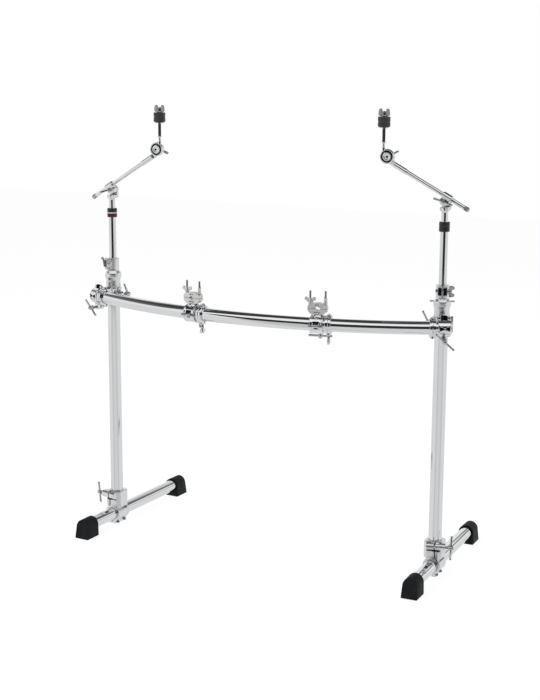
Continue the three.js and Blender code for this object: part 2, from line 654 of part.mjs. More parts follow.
/** One jaw's outline in the XZ plane, the split at z = 0; a tube is gripped along Y. */
function jawOutline(upper) {
  const size = JAW;
  const half = size.height / 2;
  const inner = size.halfWidth - size.corner;
  const flat = [
    [-size.halfWidth, FIT.gap], [-size.notchHalfWidth, FIT.gap], [0, size.notchRise],
    [size.notchHalfWidth, FIT.gap], [size.halfWidth, FIT.gap],
  ];
  const cornerRise = half - size.corner;
  const crown = [[size.halfWidth, cornerRise], [inner, half], [-inner, half], [-size.halfWidth, cornerRise]];
  const outline = [...flat, ...crown];
  return upper ? outline : outline.map(([x, z]) => [x, -z]).reverse();
}

/** Lower jaw with its two posts; z = 0 underneath. */
function lowerJawGeometry() {
  const size = JAW;
  const body = at(slab(jawOutline(false), -size.depth / 2, size.depth / 2), 0, 0, size.height / 2);
  const posts = [-1, 1].map((end) => at(
    rod('z', size.postRadius, size.corner / 2, size.height + size.postRise, FACETS.screw),
    end * size.postSpacing / 2, 0, 0,
  ));
  return join(body, ...posts);
}

/** Upper jaw with its two wing nuts; z = 0 under the lower jaw. */
function upperJawGeometry() {
  const size = JAW;
  const body = at(slab(jawOutline(true), -size.depth / 2, size.depth / 2), 0, 0, size.height / 2);
  const inner = size.postRadius + FIT.gap;
  const span = size.nutHub * 2;
  const nuts = [-1, 1].map((end) => at(
    wingNutGeometry(size.nutHub, span, size.nutHeight, inner, WING.thickness),
    end * size.postSpacing / 2, 0, size.height - FIT.gap,
  ));
  const holes = [-1, 1].map((end) => at(
    bore('z', inner, 0, size.height * 2, FACETS.screw), end * size.postSpacing / 2, 0, 0,
  ));
  return cut(join(body, ...nuts), ...holes);
}

// Assembly

const finish = (color, metalness, roughness) => ({ color, metalness, roughness });
const chrome = finish(COLOURS.chrome, 1, 0.12);
const rubber = finish(COLOURS.rubber, 0, 0.7);
const felt = finish(COLOURS.felt, 0, 0.95);

const rack = new THREE.Group();

/** A group placed in its parent; the left side mirrors the right. */
function group(parent, sign, [x, y, z], [tiltX, tiltY, tiltZ] = [0, 0, 0], name = '') {
  const child = new THREE.Group();
  child.name = name;
  child.position.set(sign * x, y, z);
  child.rotation.set(tiltX, sign * tiltY, sign * tiltZ);
  parent.add(child);
  return child;
}

function add(parent, name, geometry, look, sign = 1) {
  const shaped = closed(sign < 0 ? geometry.clone().scale(-1, 1, 1) : geometry).toNonIndexed();
  shaped.computeVertexNormals();
  const mesh = new THREE.Mesh(shaped, new THREE.MeshStandardMaterial(look));
  mesh.name = name;
  parent.add(mesh);
  return mesh;
}

/** A screw whose axis points along the given direction, turned about that axis. */
function addScrew(parent, sign, name, geometry, [x, y, z], direction, spin) {
  const place = group(parent, sign, [x, y, z], [0, 0, 0], `${name}_axis`);
  const [dx, dy, dz] = direction;
  const aim = new THREE.Vector3(sign * dx, dy, dz);
  place.quaternion.setFromUnitVectors(new THREE.Vector3(0, 0, 1), aim);
  const mesh = add(place, name, geometry, chrome);
  mesh.rotation.z = radians(spin);
  return mesh;
}

function addLeg(side, parent) {
  const { name, sign } = side;
  const turn = group(parent, sign, [0, 0, 0], [0, 0, radians(side.legTurn)], `${name}_leg_turn`);
  add(turn, `${name}_leg_clamp_body`, legClampGeometry(), chrome, sign);
  const size = LEG_CLAMP;
  const boltTurn = radians(size.boltTurn);
  const shank = size.shankShow + size.lugOuter + size.lugInner / 2;
  const hubStart = size.lugOuter + size.shankShow;
  const screwAt = [
    hubStart * Math.cos(boltTurn) + size.boltDistance * Math.sin(boltTurn),
    hubStart * Math.sin(boltTurn) - size.boltDistance * Math.cos(boltTurn),
    legBoltHeight,
  ];
  addScrew(
    turn, sign, `${name}_leg_clamp_handle`, handleGeometry(shank), screwAt,
    [Math.cos(boltTurn), Math.sin(boltTurn), 0], side.legHandle,
  );
  const leg = group(turn, sign, [0, side.legOffset, 0], [0, 0, 0], `${name}_leg_slide`);
  add(leg, `${name}_leg_tube`, legTubeGeometry(), chrome);
  const mouth = LEG.length / 2 - FOOT.length;
  const front = group(leg, sign, [0, -mouth, 0], [0, 0, Math.PI]);
  add(front, `${name}_foot_front`, footGeometry(), rubber);
  const back = group(leg, sign, [0, mouth, 0]);
  add(back, `${name}_foot_back`, footGeometry(), rubber);
}

function addCorner(side, parent) {
  const { name, sign } = side;
  const corner = group(parent, sign, [0, 0, RACK.barHeight], [0, 0, clampAngle], `${name}_corner`);
  add(corner, `${name}_corner_clamp_body`, cornerBodyGeometry(), chrome, sign);
  add(corner, `${name}_corner_clamp_bar_strap`, barStrapGeometry(), chrome, sign);
  add(corner, `${name}_corner_clamp_upright_strap`, uprightStrapGeometry(), chrome, sign);
  const half = HANDLE.hubLength / 2;
  const barHub = clampOffset + lockRadius + handlePlane - half;
  addScrew(
    corner, sign, `${name}_corner_clamp_bar_handle`,
    handleGeometry(barHub - clampOffset + WRAP.lugDepth), [0, -barHub, -boltReach], [0, -1, 0],
    side.barHandle,
  );
  const uprightHub = wrapRadius + handlePlane - half;
  addScrew(
    corner, sign, `${name}_corner_clamp_upright_handle`,
    handleGeometry(uprightHub + WRAP.lugDepth), [-boltReach, uprightHub, CORNER.uprightLugRise], [0, 1, 0],
    side.uprightHandle,
  );
}

/** A place on the bar, given as an angle about the centre of its arc. */
function onBar(parent, angle, name) {
  const x = RACK.barRadius * Math.sin(angle);
  const y = arcCentreY - RACK.barRadius * Math.cos(angle);
  return group(parent, 1, [x, y, RACK.barHeight], [0, 0, angle], name);
}

function addMast(side, parent) {
  const { name, sign } = side;
  const size = MAST_CLAMP;
  const clamp = group(parent, sign, [0, 0, 0], [0, 0, radians(side.mastClampTurn)], `${name}_mast_clamp`);
  add(clamp, `${name}_mast_clamp_body`, mastClampGeometry(), chrome, sign);
  addScrew(
    clamp, sign, `${name}_mast_clamp_wing_screw`,
    wingScrewGeometry(size.earHalfWidth * 2 - WING.standOff, WING.span),
    [size.earHalfWidth + WING.standOff, -size.boltForward, mastBoltHeight], [1, 0, 0], sign * size.wingTurn,
  );
  const mast = group(parent, sign, [0, 0, mastClampTop + side.mastRise], [0, 0, 0], `${name}_mast_slide`);
  add(mast, `${name}_mast_tube`, mastGeometry(), chrome);
  return mast;
}

function addBoom(side, parent) {
  const { name, sign } = side;
  const tilt = radians(side.boomAngle);
  const size = BOOM_TILTER;
  const pivot = group(parent, sign, [0, 0, MAST.bandHeight + size.pivotRise], [0, 0, 0], `${name}_boom_turn`);
  add(pivot, `${name}_boom_tilter_base`, boomTilterBaseGeometry(), chrome, sign);
  const screwFace = size.frontCut + WING.standOff;
  const shank = screwFace + size.plane + size.discDepth / 2;
  addScrew(
    pivot, sign, `${name}_boom_tilter_wing_screw`, wingScrewGeometry(shank),
    [0, -screwFace, 0], [0, -1, 0], -sign * size.wingDrop,
  );
  const boom = group(pivot, sign, [0, 0, 0], [0, tilt, 0], `${name}_boom_tilt`);
  add(boom, `${name}_boom_tilter_head`, boomTilterHeadGeometry(), chrome, sign);
  add(boom, `${name}_boom_rod`, boomRodGeometry(), chrome, sign);
  return boom;
}

function addCymbalTilter(side, parent) {
  const { name, sign } = side;
  const size = CYMBAL_TILTER;
  const place = [-BOOM.reach, 0, BOOM_TILTER.rodRise + size.rise];
  const base = group(parent, sign, place, [0, 0, 0], `${name}_cymbal_pivot`);
  add(base, `${name}_cymbal_tilter_base`, cymbalTilterBaseGeometry(), chrome, sign);
  addScrew(
    base, sign, `${name}_cymbal_tilter_wing_screw`, wingScrewGeometry(size.depth * 2),
    [0, size.depth + WING.standOff, 0], [0, 1, 0], -sign * (side.boomAngle + size.wingLift),
  );
  const head = group(base, sign, [0, 0, 0], [0, -radians(side.boomAngle), 0], `${name}_cymbal_tilt`);
  add(head, `${name}_cymbal_tilter_head`, cymbalTilterHeadGeometry(), chrome, sign);
  const stack = size.seatTop + FIT.gap;
  const felts = group(head, sign, [-size.rodInset, -size.rodForward, stack]);
  add(felts, `${name}_cymbal_felts`, feltGeometry(), felt);
  const nut = group(felts, sign, [0, 0, FELT.height + FIT.gap], [0, 0, 0], `${name}_cymbal_nut`);
  const wings = wingNutGeometry(NUT.hub, NUT.span, NUT.height, size.rod + FIT.gap, NUT.thickness);
  add(nut, `${name}_cymbal_wing_nut`, wings, chrome);
}

function addBarClamp(side) {
  const { name } = side;
  const clamp = onBar(rack, side.clampPlace / RACK.barRadius, `${name}_bar_clamp`);
  add(clamp, `${name}_bar_clamp_body`, barClampBodyGeometry(), chrome);
  add(clamp, `${name}_bar_clamp_strap`, barClampStrapGeometry(), chrome);
  const reach = boltReach + BAR_CLAMP.shell - WRAP.shell;
  const hub = barClampRadius + handlePlane;
  const screw = handleGeometry(hub + WRAP.lugDepth);
  addScrew(clamp, 1, `${name}_bar_clamp_handle`, screw, [0, reach, -hub], [0, 0, -1], side.clampHandle);
  const jaw = group(clamp, 1, [0, 0, pedestalTop + FIT.gap], [0, 0, 0], `${name}_jaw_turn`);
  add(jaw, `${name}_jaw_lower`, lowerJawGeometry(), chrome);
  add(jaw, `${name}_jaw_upper`, upperJawGeometry(), chrome);
}

for (const side of SIDES) {
  const base = group(rack, side.sign, [halfSpacing, 0, 0], [0, 0, 0], `${side.name}_upright`);
  const upright = tube('z', TUBE.radius, TUBE.radius - TUBE.wall, uprightBottom, uprightTop);
  add(base, `${side.name}_upright_tube`, upright, chrome);
  addLeg(side, base);
  addCorner(side, base);
  addCymbalTilter(side, addBoom(side, addMast(side, base)));
  const lockAngle = clampAngle - LOCK.spacing / RACK.barRadius;
  const lock = onBar(rack, side.sign * lockAngle, `${side.name}_lock`);
  add(lock, `${side.name}_memory_lock`, memoryLockGeometry(), chrome, side.sign);
  addBarClamp(side);
}

const bar = group(rack, 1, [0, 0, RACK.barHeight]);
add(bar, 'curved_bar', curvedBarGeometry(), chrome);

// The origin is under the middle of the whole rack
const box = new THREE.Box3().setFromObject(rack, true);
rack.position.set(-(box.min.x + box.max.x) / 2, -(box.min.y + box.max.y) / 2, -box.min.z);

export default rack;
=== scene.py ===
"""Curved drum rack: chromed tubes, castings and screws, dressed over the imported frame."""
import json
import math

import bmesh
import bpy
import numpy
from bpy.props import FloatProperty, FloatVectorProperty, IntProperty, PointerProperty
from mathutils import Matrix, Vector


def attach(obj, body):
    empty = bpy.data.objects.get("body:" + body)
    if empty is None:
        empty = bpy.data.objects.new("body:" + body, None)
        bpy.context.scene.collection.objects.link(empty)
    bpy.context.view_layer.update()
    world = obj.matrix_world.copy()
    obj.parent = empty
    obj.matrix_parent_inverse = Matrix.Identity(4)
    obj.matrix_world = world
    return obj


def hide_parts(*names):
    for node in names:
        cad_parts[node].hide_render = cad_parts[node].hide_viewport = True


bl_info = {
    "name": "Curved drum rack",
    "version": (1, 0, 0),
    "blender": (4, 5, 0),
    "location": "3D View > Sidebar > Drum rack",
    "description": "Builds the visible pieces, finishes and studio of a curved drum rack",
    "category": "Object",
}

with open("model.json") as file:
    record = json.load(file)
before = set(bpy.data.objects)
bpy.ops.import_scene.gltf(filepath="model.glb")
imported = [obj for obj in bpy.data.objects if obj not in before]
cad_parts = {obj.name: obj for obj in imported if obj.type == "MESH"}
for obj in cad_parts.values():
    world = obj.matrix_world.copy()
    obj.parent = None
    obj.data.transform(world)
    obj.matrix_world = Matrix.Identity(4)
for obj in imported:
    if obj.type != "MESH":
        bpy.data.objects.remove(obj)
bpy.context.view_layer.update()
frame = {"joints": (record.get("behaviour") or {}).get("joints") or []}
JOINTS = {joint["name"]: joint for joint in frame["joints"]}

# Shapes are made in millimetres, each in the frame of its own casting or tube, and placed in metres.
MM = 0.001
SIDES = (("left", -1), ("right", 1))
TUBE = {"radius": 19.05, "wall": 1.6, "edge": 0.5, "bore": 19.4}
TUBE["inner"] = TUBE["radius"] - TUBE["wall"]
RACK = {"bar_radius": 1260, "bar_height": 744, "bar_steps": 160, "overhang": 20}
UPRIGHT = {"low": 59.85, "high": 795}
LEG = {"height": 36.5, "half": 271.7, "offset": {"left": 89.5, "right": 69.5}}
FOOT = {"mouth": 224.5, "length": 57.5, "base": 24.5, "arch": 23.85, "nose": 2, "lean": 6, "corner": 2.6}
WRAP = {
    "radius": 24.5, "slit": 1.5, "lug_reach": 42.5, "lug_depth": 10, "hinge": 29.7, "knuckle": 4.6,
    "pin": 2.3,
}
LEG_CLAMP = {
    "neck": 58, "top": 109.85, "half": 28, "bolt": 96.85, "lug_turn": 12, "screw_place": 17,
    "screw_height": 8.8,
}
# Each lug as its middle and its width
CORNER = {
    "offset": 52, "bar_width": 36, "upright_width": 44, "bar_lug": (0, 18), "upright_lug": (2, 20),
    "lock_spacing": 32,
}
SPINS = {
    "left": {"leg_handle": -18, "bar_handle": -36, "upright_handle": 55, "clamp_handle": 57,
             "mast_screw": -22, "boom_screw": 18, "cymbal_screw": 30},
    "right": {"leg_handle": -10.5, "bar_handle": -41.5, "upright_handle": 63, "clamp_handle": 0,
              "mast_screw": 22, "boom_screw": -18, "cymbal_screw": -30},
}
SHANKS = {
    "leg_handle": 52, "bar_handle": 40, "upright_handle": 32, "clamp_handle": 44, "mast_screw": 27.6,
    "boom_screw": 23, "cymbal_screw": 17,
}
SPANS = {"mast_screw": 18, "boom_screw": 29, "cymbal_screw": 29}
HANDLE = {"bar": 3.5, "half": 35, "hub": 6.5, "length": 16, "flange": 7.4, "shank": 3.5, "thread": 4}
WING = {"rise": 17, "thickness": 4.4, "hub": 6.2, "tip": 6.5, "root": 3.4, "shank": 2.7, "thread": 3}
JAW_NUT = {"hub": 6.0, "height": 17, "reach": 11.6, "high": 13.5, "ear": 5.4, "low": 29.4}
MAST = {"radius": 11.1, "wall": 1.2, "length": 370, "band": 15, "band_height": 27, "pivot_rise": 57.6}
BOOM = {"radius": 6.35, "rise": 12, "far": 176.6, "tail": 73, "knurl": 48, "grip": 12, "play": 0.35}
LOCK = {
    "radius": 25.95, "width": 18, "lug": 6.5, "deep": 7.5, "slit": 1.5, "screw": 3.4, "front": -7.2,
    "high": 25.6,
}
CLAMP = {"radius": 26.25, "width": 38, "lock_place": 32, "lock_width": 16, "pedestal": 28.85}
JAW = {"depth": 20, "height": 33, "posts": 22, "post": 3, "post_top": 66}
MAST_CLAMP = {
    "low": 768, "flare": 789, "shoulder": 808, "collar": 822, "top": 857, "ears": (830.8, 851.8), "pins": 810,
    "nut": 841,
}
CYMBAL = {"rod_x": -11, "rod_y": -5.2, "boom_z": -10, "seat": 81.3, "felts": 28, "nut": 28.3, "stub": 16}


# Closed shapes as points and faces

class Form:
    """Loose closed solids, as corner points and faces."""

    def __init__(self, points, faces):
        self.points = [Vector(point) for point in points]
        self.faces = [tuple(face) for face in faces]

    def __add__(self, other):
        shift = len(self.points)
        added = [[i + shift for i in face] for face in other.faces]
        return Form(self.points + other.points, self.faces + added)

    def moved(self, matrix):
        return Form([matrix @ point for point in self.points], self.faces)

    def at(self, x, y, z):
        return self.moved(Matrix.Translation((x, y, z)))

    def turned(self, degrees, axis):
        return self.moved(Matrix.Rotation(math.radians(degrees), 4, axis))


def basis(x, y, z):
    """The turn that sends X, Y and Z along three directions."""
    return Matrix((x, y, z)).transposed().to_4x4()


ALONG = {
    "x": basis((0, 1, 0), (0, 0, 1), (1, 0, 0)),
    "y": basis((0, 0, 1), (1, 0, 0), (0, 1, 0)),
    "z": Matrix.Identity(4),
}
ONTO_BAR = basis((0, 0, 1), (0, -1, 0), (1, 0, 0))
UNDER_BAR = basis((0, -1, 0), (0, 0, -1), (1, 0, 0))
TO_FRONT = Matrix.Rotation(math.radians(90), 4, "X")


def skin(sections, loop=False):
    """Quads over rows of points; the first and last rows are closed by a face, or meet in a loop."""
    count = len(sections[0])
    points = [point for section in sections for point in section]
    faces = []
    rows = len(sections)
    for row in range(rows if loop else rows - 1):
        after = (row + 1) % rows
        for i in range(count):
            j = (i + 1) % count
            faces.append((row * count + i, row * count + j, after * count + j, after * count + i))
    if not loop:
        faces.append(tuple(range(count))[::-1])
        faces.append(tuple(range((rows - 1) * count, rows * count)))
    return Form(points, faces)


def lathe(profile, sides=48, axis="z"):
    """A profile of (radius, height) turned about an axis; a profile off the axis at both ends is a ring."""
    ring = profile[0][0] > 0 and profile[-1][0] > 0
    points = []
    rows = []
    for radius, height in profile:
        if radius == 0:
            rows.append([len(points)] * sides)
            points.append((0, 0, height))
        else:
            rows.append(list(range(len(points), len(points) + sides)))
            for i in range(sides):
                angle = math.tau * i / sides
                points.append((radius * math.cos(angle), radius * math.sin(angle), height))
    faces = []
    pairs = list(zip(rows, rows[1:]))
    if ring:
        pairs.append((rows[-1], rows[0]))
    for low, high in pairs:
        for i in range(sides):
            j = (i + 1) % sides
            corners = []
            for corner in (low[i], low[j], high[j], high[i]):
                if corner not in corners:
                    corners.append(corner)
            if len(corners) > 2:
                faces.append(corners)
    return Form(points, faces).moved(ALONG[axis])


def mirrored(profile):
    """A profile of (radius, height) carried on to its mirror image above z = 0."""
    return profile + [(radius, -height) for radius, height in reversed(profile)]


def rod(axis, radius, low, high, edge=0.0, sides=48):
    """A round bar with chamfered ends."""
    if edge:
        bend = edge * 0.3
        profile = [
            (0, low), (radius - edge, low), (radius - bend, low + bend), (radius, low + edge),
            (radius, high - edge), (radius - bend, high - bend), (radius - edge, high), (0, high),
        ]
    else:
        profile = [(0, low), (radius, low), (radius, high), (0, high)]
    return lathe(profile, sides, axis)


def bore(axis, play=0.0, reach=80):
    """What is taken out of a casting for a large tube."""
    return rod(axis, TUBE["bore"] + play, -reach, reach, 0, 72)


def pipe(axis, outer, inner, low, high, edge=TUBE["edge"], sides=72):
    """A tube, open at both ends."""
    profile = [
        (inner, low), (outer - edge, low), (outer, low + edge), (outer, high - edge), (outer - edge, high),
        (inner, high),
    ]
    return lathe(profile, sides, axis)


def block(x0, x1, y0, y1, z0, z1):
    return prism([(x0, y0), (x1, y0), (x1, y1), (x0, y1)], z0, z1)


def prism(outline, low, high):
    """An outline in XY made solid along Z."""
    return skin([[(x, y, low) for x, y in outline], [(x, y, high) for x, y in outline]])


def slab(outline, low, high):
    """An outline of (x, z) made solid along Y."""
    return skin([[(x, low, z) for x, z in outline], [(x, high, z) for x, z in outline]])


def plank(outline, low, high):
    """An outline of (y, z) made solid along X."""
    return skin([[(low, y, z) for y, z in outline], [(high, y, z) for y, z in outline]])


def arc(cx, cy, radius, start, end, steps=12):
    """Points on an arc, given in degrees."""
    turns = [math.radians(start + (end - start) * i / steps) for i in range(steps + 1)]
    return [(cx + radius * math.cos(turn), cy + radius * math.sin(turn)) for turn in turns]


def rounded(outline, radius, steps=4):
    """An outline with its corners rounded by a short curve."""
    out = []
    count = len(outline)
    for i in range(count):
        before, here, after = (Vector(outline[(i + k) % count]) for k in (-1, 0, 1))
        cut_in = min(radius, (before - here).length / 2.2)
        cut_out = min(radius, (after - here).length / 2.2)
        start = here + (before - here).normalized() * cut_in
        end = here + (after - here).normalized() * cut_out
        for step in range(steps + 1):
            share = step / steps
            point = start * (1 - share) ** 2 + here * 2 * share * (1 - share) + end * share ** 2
            out.append((point.x, point.y))
    return out


# Meshes

def mesh_of(*forms):
    """A clean mesh with its faces outwards."""
    form = sum(forms[1:], forms[0])
    mesh = bpy.data.meshes.new("shape")
    mesh.from_pydata([tuple(point) for point in form.points], [], form.faces)
    work = bmesh.new()
    work.from_mesh(mesh)
    bmesh.ops.recalc_face_normals(work, faces=work.faces)
    work.to_mesh(mesh)
    work.free()
    return mesh


def joined(*meshes):
    """Several meshes as one, each still a closed solid of its own."""
    work = bmesh.new()
    for mesh in meshes:
        work.from_mesh(mesh)
    out = bpy.data.meshes.new("shape")
    work.to_mesh(out)
    work.free()
    return out


def applied(thing):
    """The evaluated mesh of an object, which is then removed."""
    graph = bpy.context.evaluated_depsgraph_get()
    graph.update()
    mesh = bpy.data.meshes.new_from_object(thing.evaluated_get(graph), depsgraph=graph)
    bpy.data.objects.remove(thing)
    return mesh


def linked(name, data):
    """A new object in the scene."""
    thing = bpy.data.objects.new(name, data)
    bpy.context.scene.collection.objects.link(thing)
    return thing


def fine():
    """The grid size of small castings, in millimetres."""
    return bpy.context.scene.rack_shapes.fine_cell / MM


def cast(solids, cutters=(), cell=None, passes=None):
    """A casting: overlapping solids grown together, the cutters taken out and the edges softened."""
    shapes = bpy.context.scene.rack_shapes
    cell = cell or shapes.casting_cell / MM
    thing = linked("work", mesh_of(*solids))
    cutter = None
    if cutters:
        cutter = linked("cutter", mesh_of(*cutters))
        carve = thing.modifiers.new("carve", "BOOLEAN")
        carve.operation = "DIFFERENCE"
        carve.solver = "EXACT"
        carve.use_self = True
        carve.object = cutter
    grow = thing.modifiers.new("grow", "REMESH")
    grow.mode = "VOXEL"
    grow.voxel_size = cell
    soften = thing.modifiers.new("soften", "SMOOTH")
    soften.factor = 0.5
    soften.iterations = passes or shapes.softening
    mesh = applied(thing)
    if cutter:
        bpy.data.objects.remove(cutter)
    return mark_creases(mesh)


def mark_creases(mesh):
    """Stores how hollow or edged a casting is at each corner point, for painted shade in creases and on rims.
    """
    count = len(mesh.vertices)
    places = numpy.empty(count * 3)
    mesh.vertices.foreach_get("co", places)
    places = places.reshape(-1, 3)
    normals = numpy.empty(count * 3, dtype=numpy.float32)
    mesh.vertex_normals.foreach_get("vector", normals)
    normals = normals.reshape(-1, 3)
    edges = numpy.empty(len(mesh.edges) * 2, dtype=numpy.int32)
    mesh.edges.foreach_get("vertices", edges)
    one, two = edges.reshape(-1, 2).T
    step = places[two] - places[one]
    reach = numpy.maximum((step ** 2).sum(axis=1), 1e-6)
    shared = numpy.maximum(numpy.bincount(one, minlength=count) + numpy.bincount(two, minlength=count), 1)

    def gathered(at_one, at_two):
        total = numpy.bincount(one, at_one, count) + numpy.bincount(two, at_two, count)
        return total / shared

    bend = gathered((step * normals[one]).sum(axis=1) / reach, -(step * normals[two]).sum(axis=1) / reach)
    for _ in range(3):
        bend = (bend + gathered(bend[two], bend[one])) / 2
    # Painted shade: hollow points get the full mark, sharp rims a smaller one for painted dark reflection
    # lines.
    hollow = numpy.clip(bend / 0.16, 0, 1)
    rim = numpy.clip((-bend - 0.12) / 0.3, 0, 1) * 0.3
    layer = mesh.attributes.new("crease", "FLOAT", "POINT")
    layer.data.foreach_set("value", (hollow + rim).astype(numpy.float32))
    return mesh


def placed(mesh, matrix):
    """A copy of a mesh moved by a matrix in metres; a mirrored one is turned right side out."""
    out = mesh.copy()
    out.transform(matrix @ Matrix.Scale(MM, 4))
    if matrix.determinant() < 0:
        out.flip_normals()
    return out


def smooth_shaded(mesh, sharp):
    """Smooth faces, with edges sharper than the angle kept crisp."""
    if sharp is None:
        mesh.shade_smooth()
        return
    work = bmesh.new()
    work.from_mesh(mesh)
    limit = math.radians(sharp)
    for edge in work.edges:
        edge.smooth = edge.calc_face_angle(0) < limit
    for face in work.faces:
        face.smooth = True
    work.to_mesh(mesh)
    work.free()


def piece(name, mesh, matrix, finish, body, nodes=(), sharp=None):
    """A finished piece: placed, given its finish, and riding on its body."""
    out = placed(mesh, matrix)
    out.name = name
    out.materials.clear()
    out.materials.append(material(finish))
    smooth_shaded(out, sharp)
    thing = linked(name, out)
    if nodes:
        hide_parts(*nodes)
    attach(thing, body)
    return thing


def add_recess(name, matrix, body, *forms):
    """Dark pieces set in sockets, slots and gaps, most of them painted shade."""
    piece(name, mesh_of(*forms), matrix, "Dark recess", body, sharp=40)


# Nodes

class Value:
    """A number on a node socket that maths can be written on."""

    def __init__(self, shader, socket):
        self.shader = shader
        self.socket = socket

    def maths(self, operation, first, second):
        return self.shader.value("ShaderNodeMath", {"operation": operation}, {0: first, 1: second})

    def __add__(self, other):
        return self.maths("ADD", self, other)

    __radd__ = __add__

    def __sub__(self, other):
        return self.maths("SUBTRACT", self, other)

    def __rsub__(self, other):
        return self.maths("SUBTRACT", other, self)

    def __mul__(self, other):
        return self.maths("MULTIPLY", self, other)

    def __truediv__(self, other):
        return self.maths("DIVIDE", self, other)

    def __pow__(self, other):
        return self.maths("POWER", self, other)


class Nodes:
    """Anything with a tree that nodes are added to."""

    def node(self, kind, settings=None, values=None):
        """A node with its settings, and with inputs given as numbers, sockets or Values."""
        made = self.tree.nodes.new(kind)
        for key, value in (settings or {}).items():
            setattr(made, key, value)
        for key, value in (values or {}).items():
            if isinstance(value, Value):
                value = value.socket
            if isinstance(value, bpy.types.NodeSocket):
                self.tree.links.new(value, made.inputs[key])
            else:
                made.inputs[key].default_value = value
        return made


# Repeats, made by geometry nodes

class NodeTree(Nodes):
    """A geometry node tree with named inputs."""

    def __init__(self, name, inputs):
        self.tree = bpy.data.node_groups.new(name, "GeometryNodeTree")
        self.tree.interface.new_socket("Geometry", in_out="OUTPUT", socket_type="NodeSocketGeometry")
        self.idents = {}
        for label, kind in inputs.items():
            made = self.tree.interface.new_socket(label, in_out="INPUT", socket_type="NodeSocket" + kind)
            self.idents[label] = made.identifier
        self.entry = self.tree.nodes.new("NodeGroupInput")
        self.exit = self.tree.nodes.new("NodeGroupOutput")

    def input(self, label):
        return self.entry.outputs[label]

    def finish(self, geometry):
        whole = self.node("GeometryNodeRealizeInstances", values={"Geometry": geometry})
        finish = self.node("GeometryNodeSetMaterial", values={
            "Geometry": whole.outputs["Geometry"], "Material": self.input("Finish"),
        })
        self.tree.links.new(finish.outputs["Geometry"], self.exit.inputs["Geometry"])

    def mesh(self, finish, **values):
        """A plain mesh of the tree with these inputs."""
        thing = linked("repeat", bpy.data.meshes.new("repeat"))
        modifier = thing.modifiers.new("repeat", "NODES")
        modifier.node_group = self.tree
        for label, value in values.items():
            modifier[self.idents[label.replace("_", " ").capitalize()]] = value
        modifier[self.idents["Finish"]] = material(finish)
        return applied(thing)


def ridge_ring_tree():
    """Ridges standing round a circle: teeth, knurling and grip lines."""
    tree = NodeTree("Ring of ridges", {
        "Count": "Int", "Radius": "Float", "Ridge size": "Vector", "Lift": "Float", "Finish": "Material",
    })
    circle = tree.node("GeometryNodeMeshCircle", values={
        "Vertices": tree.input("Count"), "Radius": tree.input("Radius"),
    })
    ridge = tree.node("GeometryNodeMeshCube", values={"Size": tree.input("Ridge size")})
    place = tree.node("GeometryNodeInputPosition")
    aim = tree.node("FunctionNodeAlignRotationToVector", {"axis": "X"}, {"Vector": place.outputs["Position"]})
    copies = tree.node("GeometryNodeInstanceOnPoints", values={
        "Points": circle.outputs["Mesh"], "Instance": ridge.outputs["Mesh"],
        "Rotation": aim.outputs["Rotation"],
    })
    up = tree.node("ShaderNodeCombineXYZ", values={"Z": tree.input("Lift")})
    lifted = tree.node("GeometryNodeTransform", values={
        "Geometry": copies.outputs["Instances"], "Translation": up.outputs["Vector"],
    })
    tree.finish(lifted.outputs["Geometry"])
    return tree


def thread_tree():
    """Rounded rings stacked along Z: the crests of a screw thread."""
    tree = NodeTree("Stack of rings", {
        "Count": "Int", "Pitch": "Float", "Radius": "Float", "Crest": "Float", "Finish": "Material",
    })
    step = tree.node("ShaderNodeCombineXYZ", values={"Z": tree.input("Pitch")})
    line = tree.node("GeometryNodeMeshLine", {"mode": "OFFSET"}, {
        "Count": tree.input("Count"), "Offset": step.outputs["Vector"],
    })
    circle = tree.node("GeometryNodeCurvePrimitiveCircle", values={
        "Resolution": 20, "Radius": tree.input("Radius"),
    })
    crest = tree.node("GeometryNodeCurvePrimitiveCircle", values={
        "Resolution": 6, "Radius": tree.input("Crest"),
    })
    ring = tree.node("GeometryNodeCurveToMesh", values={
        "Curve": circle.outputs["Curve"], "Profile Curve": crest.outputs["Curve"],
    })
    copies = tree.node("GeometryNodeInstanceOnPoints", values={
        "Points": line.outputs["Mesh"], "Instance": ring.outputs["Mesh"],
    })
    tree.finish(copies.outputs["Instances"])
    return tree


TREES = {}


def repeat(build, **values):
    """The mesh of a repeat in screw steel, whose tree is made the first time it is asked for."""
    name = build.__name__
    if name not in TREES:
        TREES[name] = build()
    return TREES[name].mesh("Screw steel", **values)


def add_teeth(name, matrix, body, radius, y, depth):
    """Teeth round the seam between two ratchet discs, standing across the axis Y."""
    teeth = repeat(
        ridge_ring_tree, count=bpy.context.scene.rack_shapes.ratchet_teeth, radius=radius - 0.75,
        ridge_size=(1.5, radius * 0.055, depth), lift=0.0,
    )
    teeth.transform(shift((0, y, 0)) @ ALONG["y"])
    piece(name, teeth, matrix, "Screw steel", body, sharp=30)


def add_thread(name, matrix, body, radius, low, high):
    """A threaded length of screw from low to high on Z."""
    pitch = bpy.context.scene.rack_shapes.thread_pitch / MM
    crests = repeat(
        thread_tree, count=int((high - low) / pitch), pitch=pitch, radius=radius - pitch * 0.3,
        crest=pitch * 0.32,
    )
    crests.transform(shift((0, 0, low + pitch / 2)))
    piece(name, crests, matrix, "Screw steel", body)


# Finishes

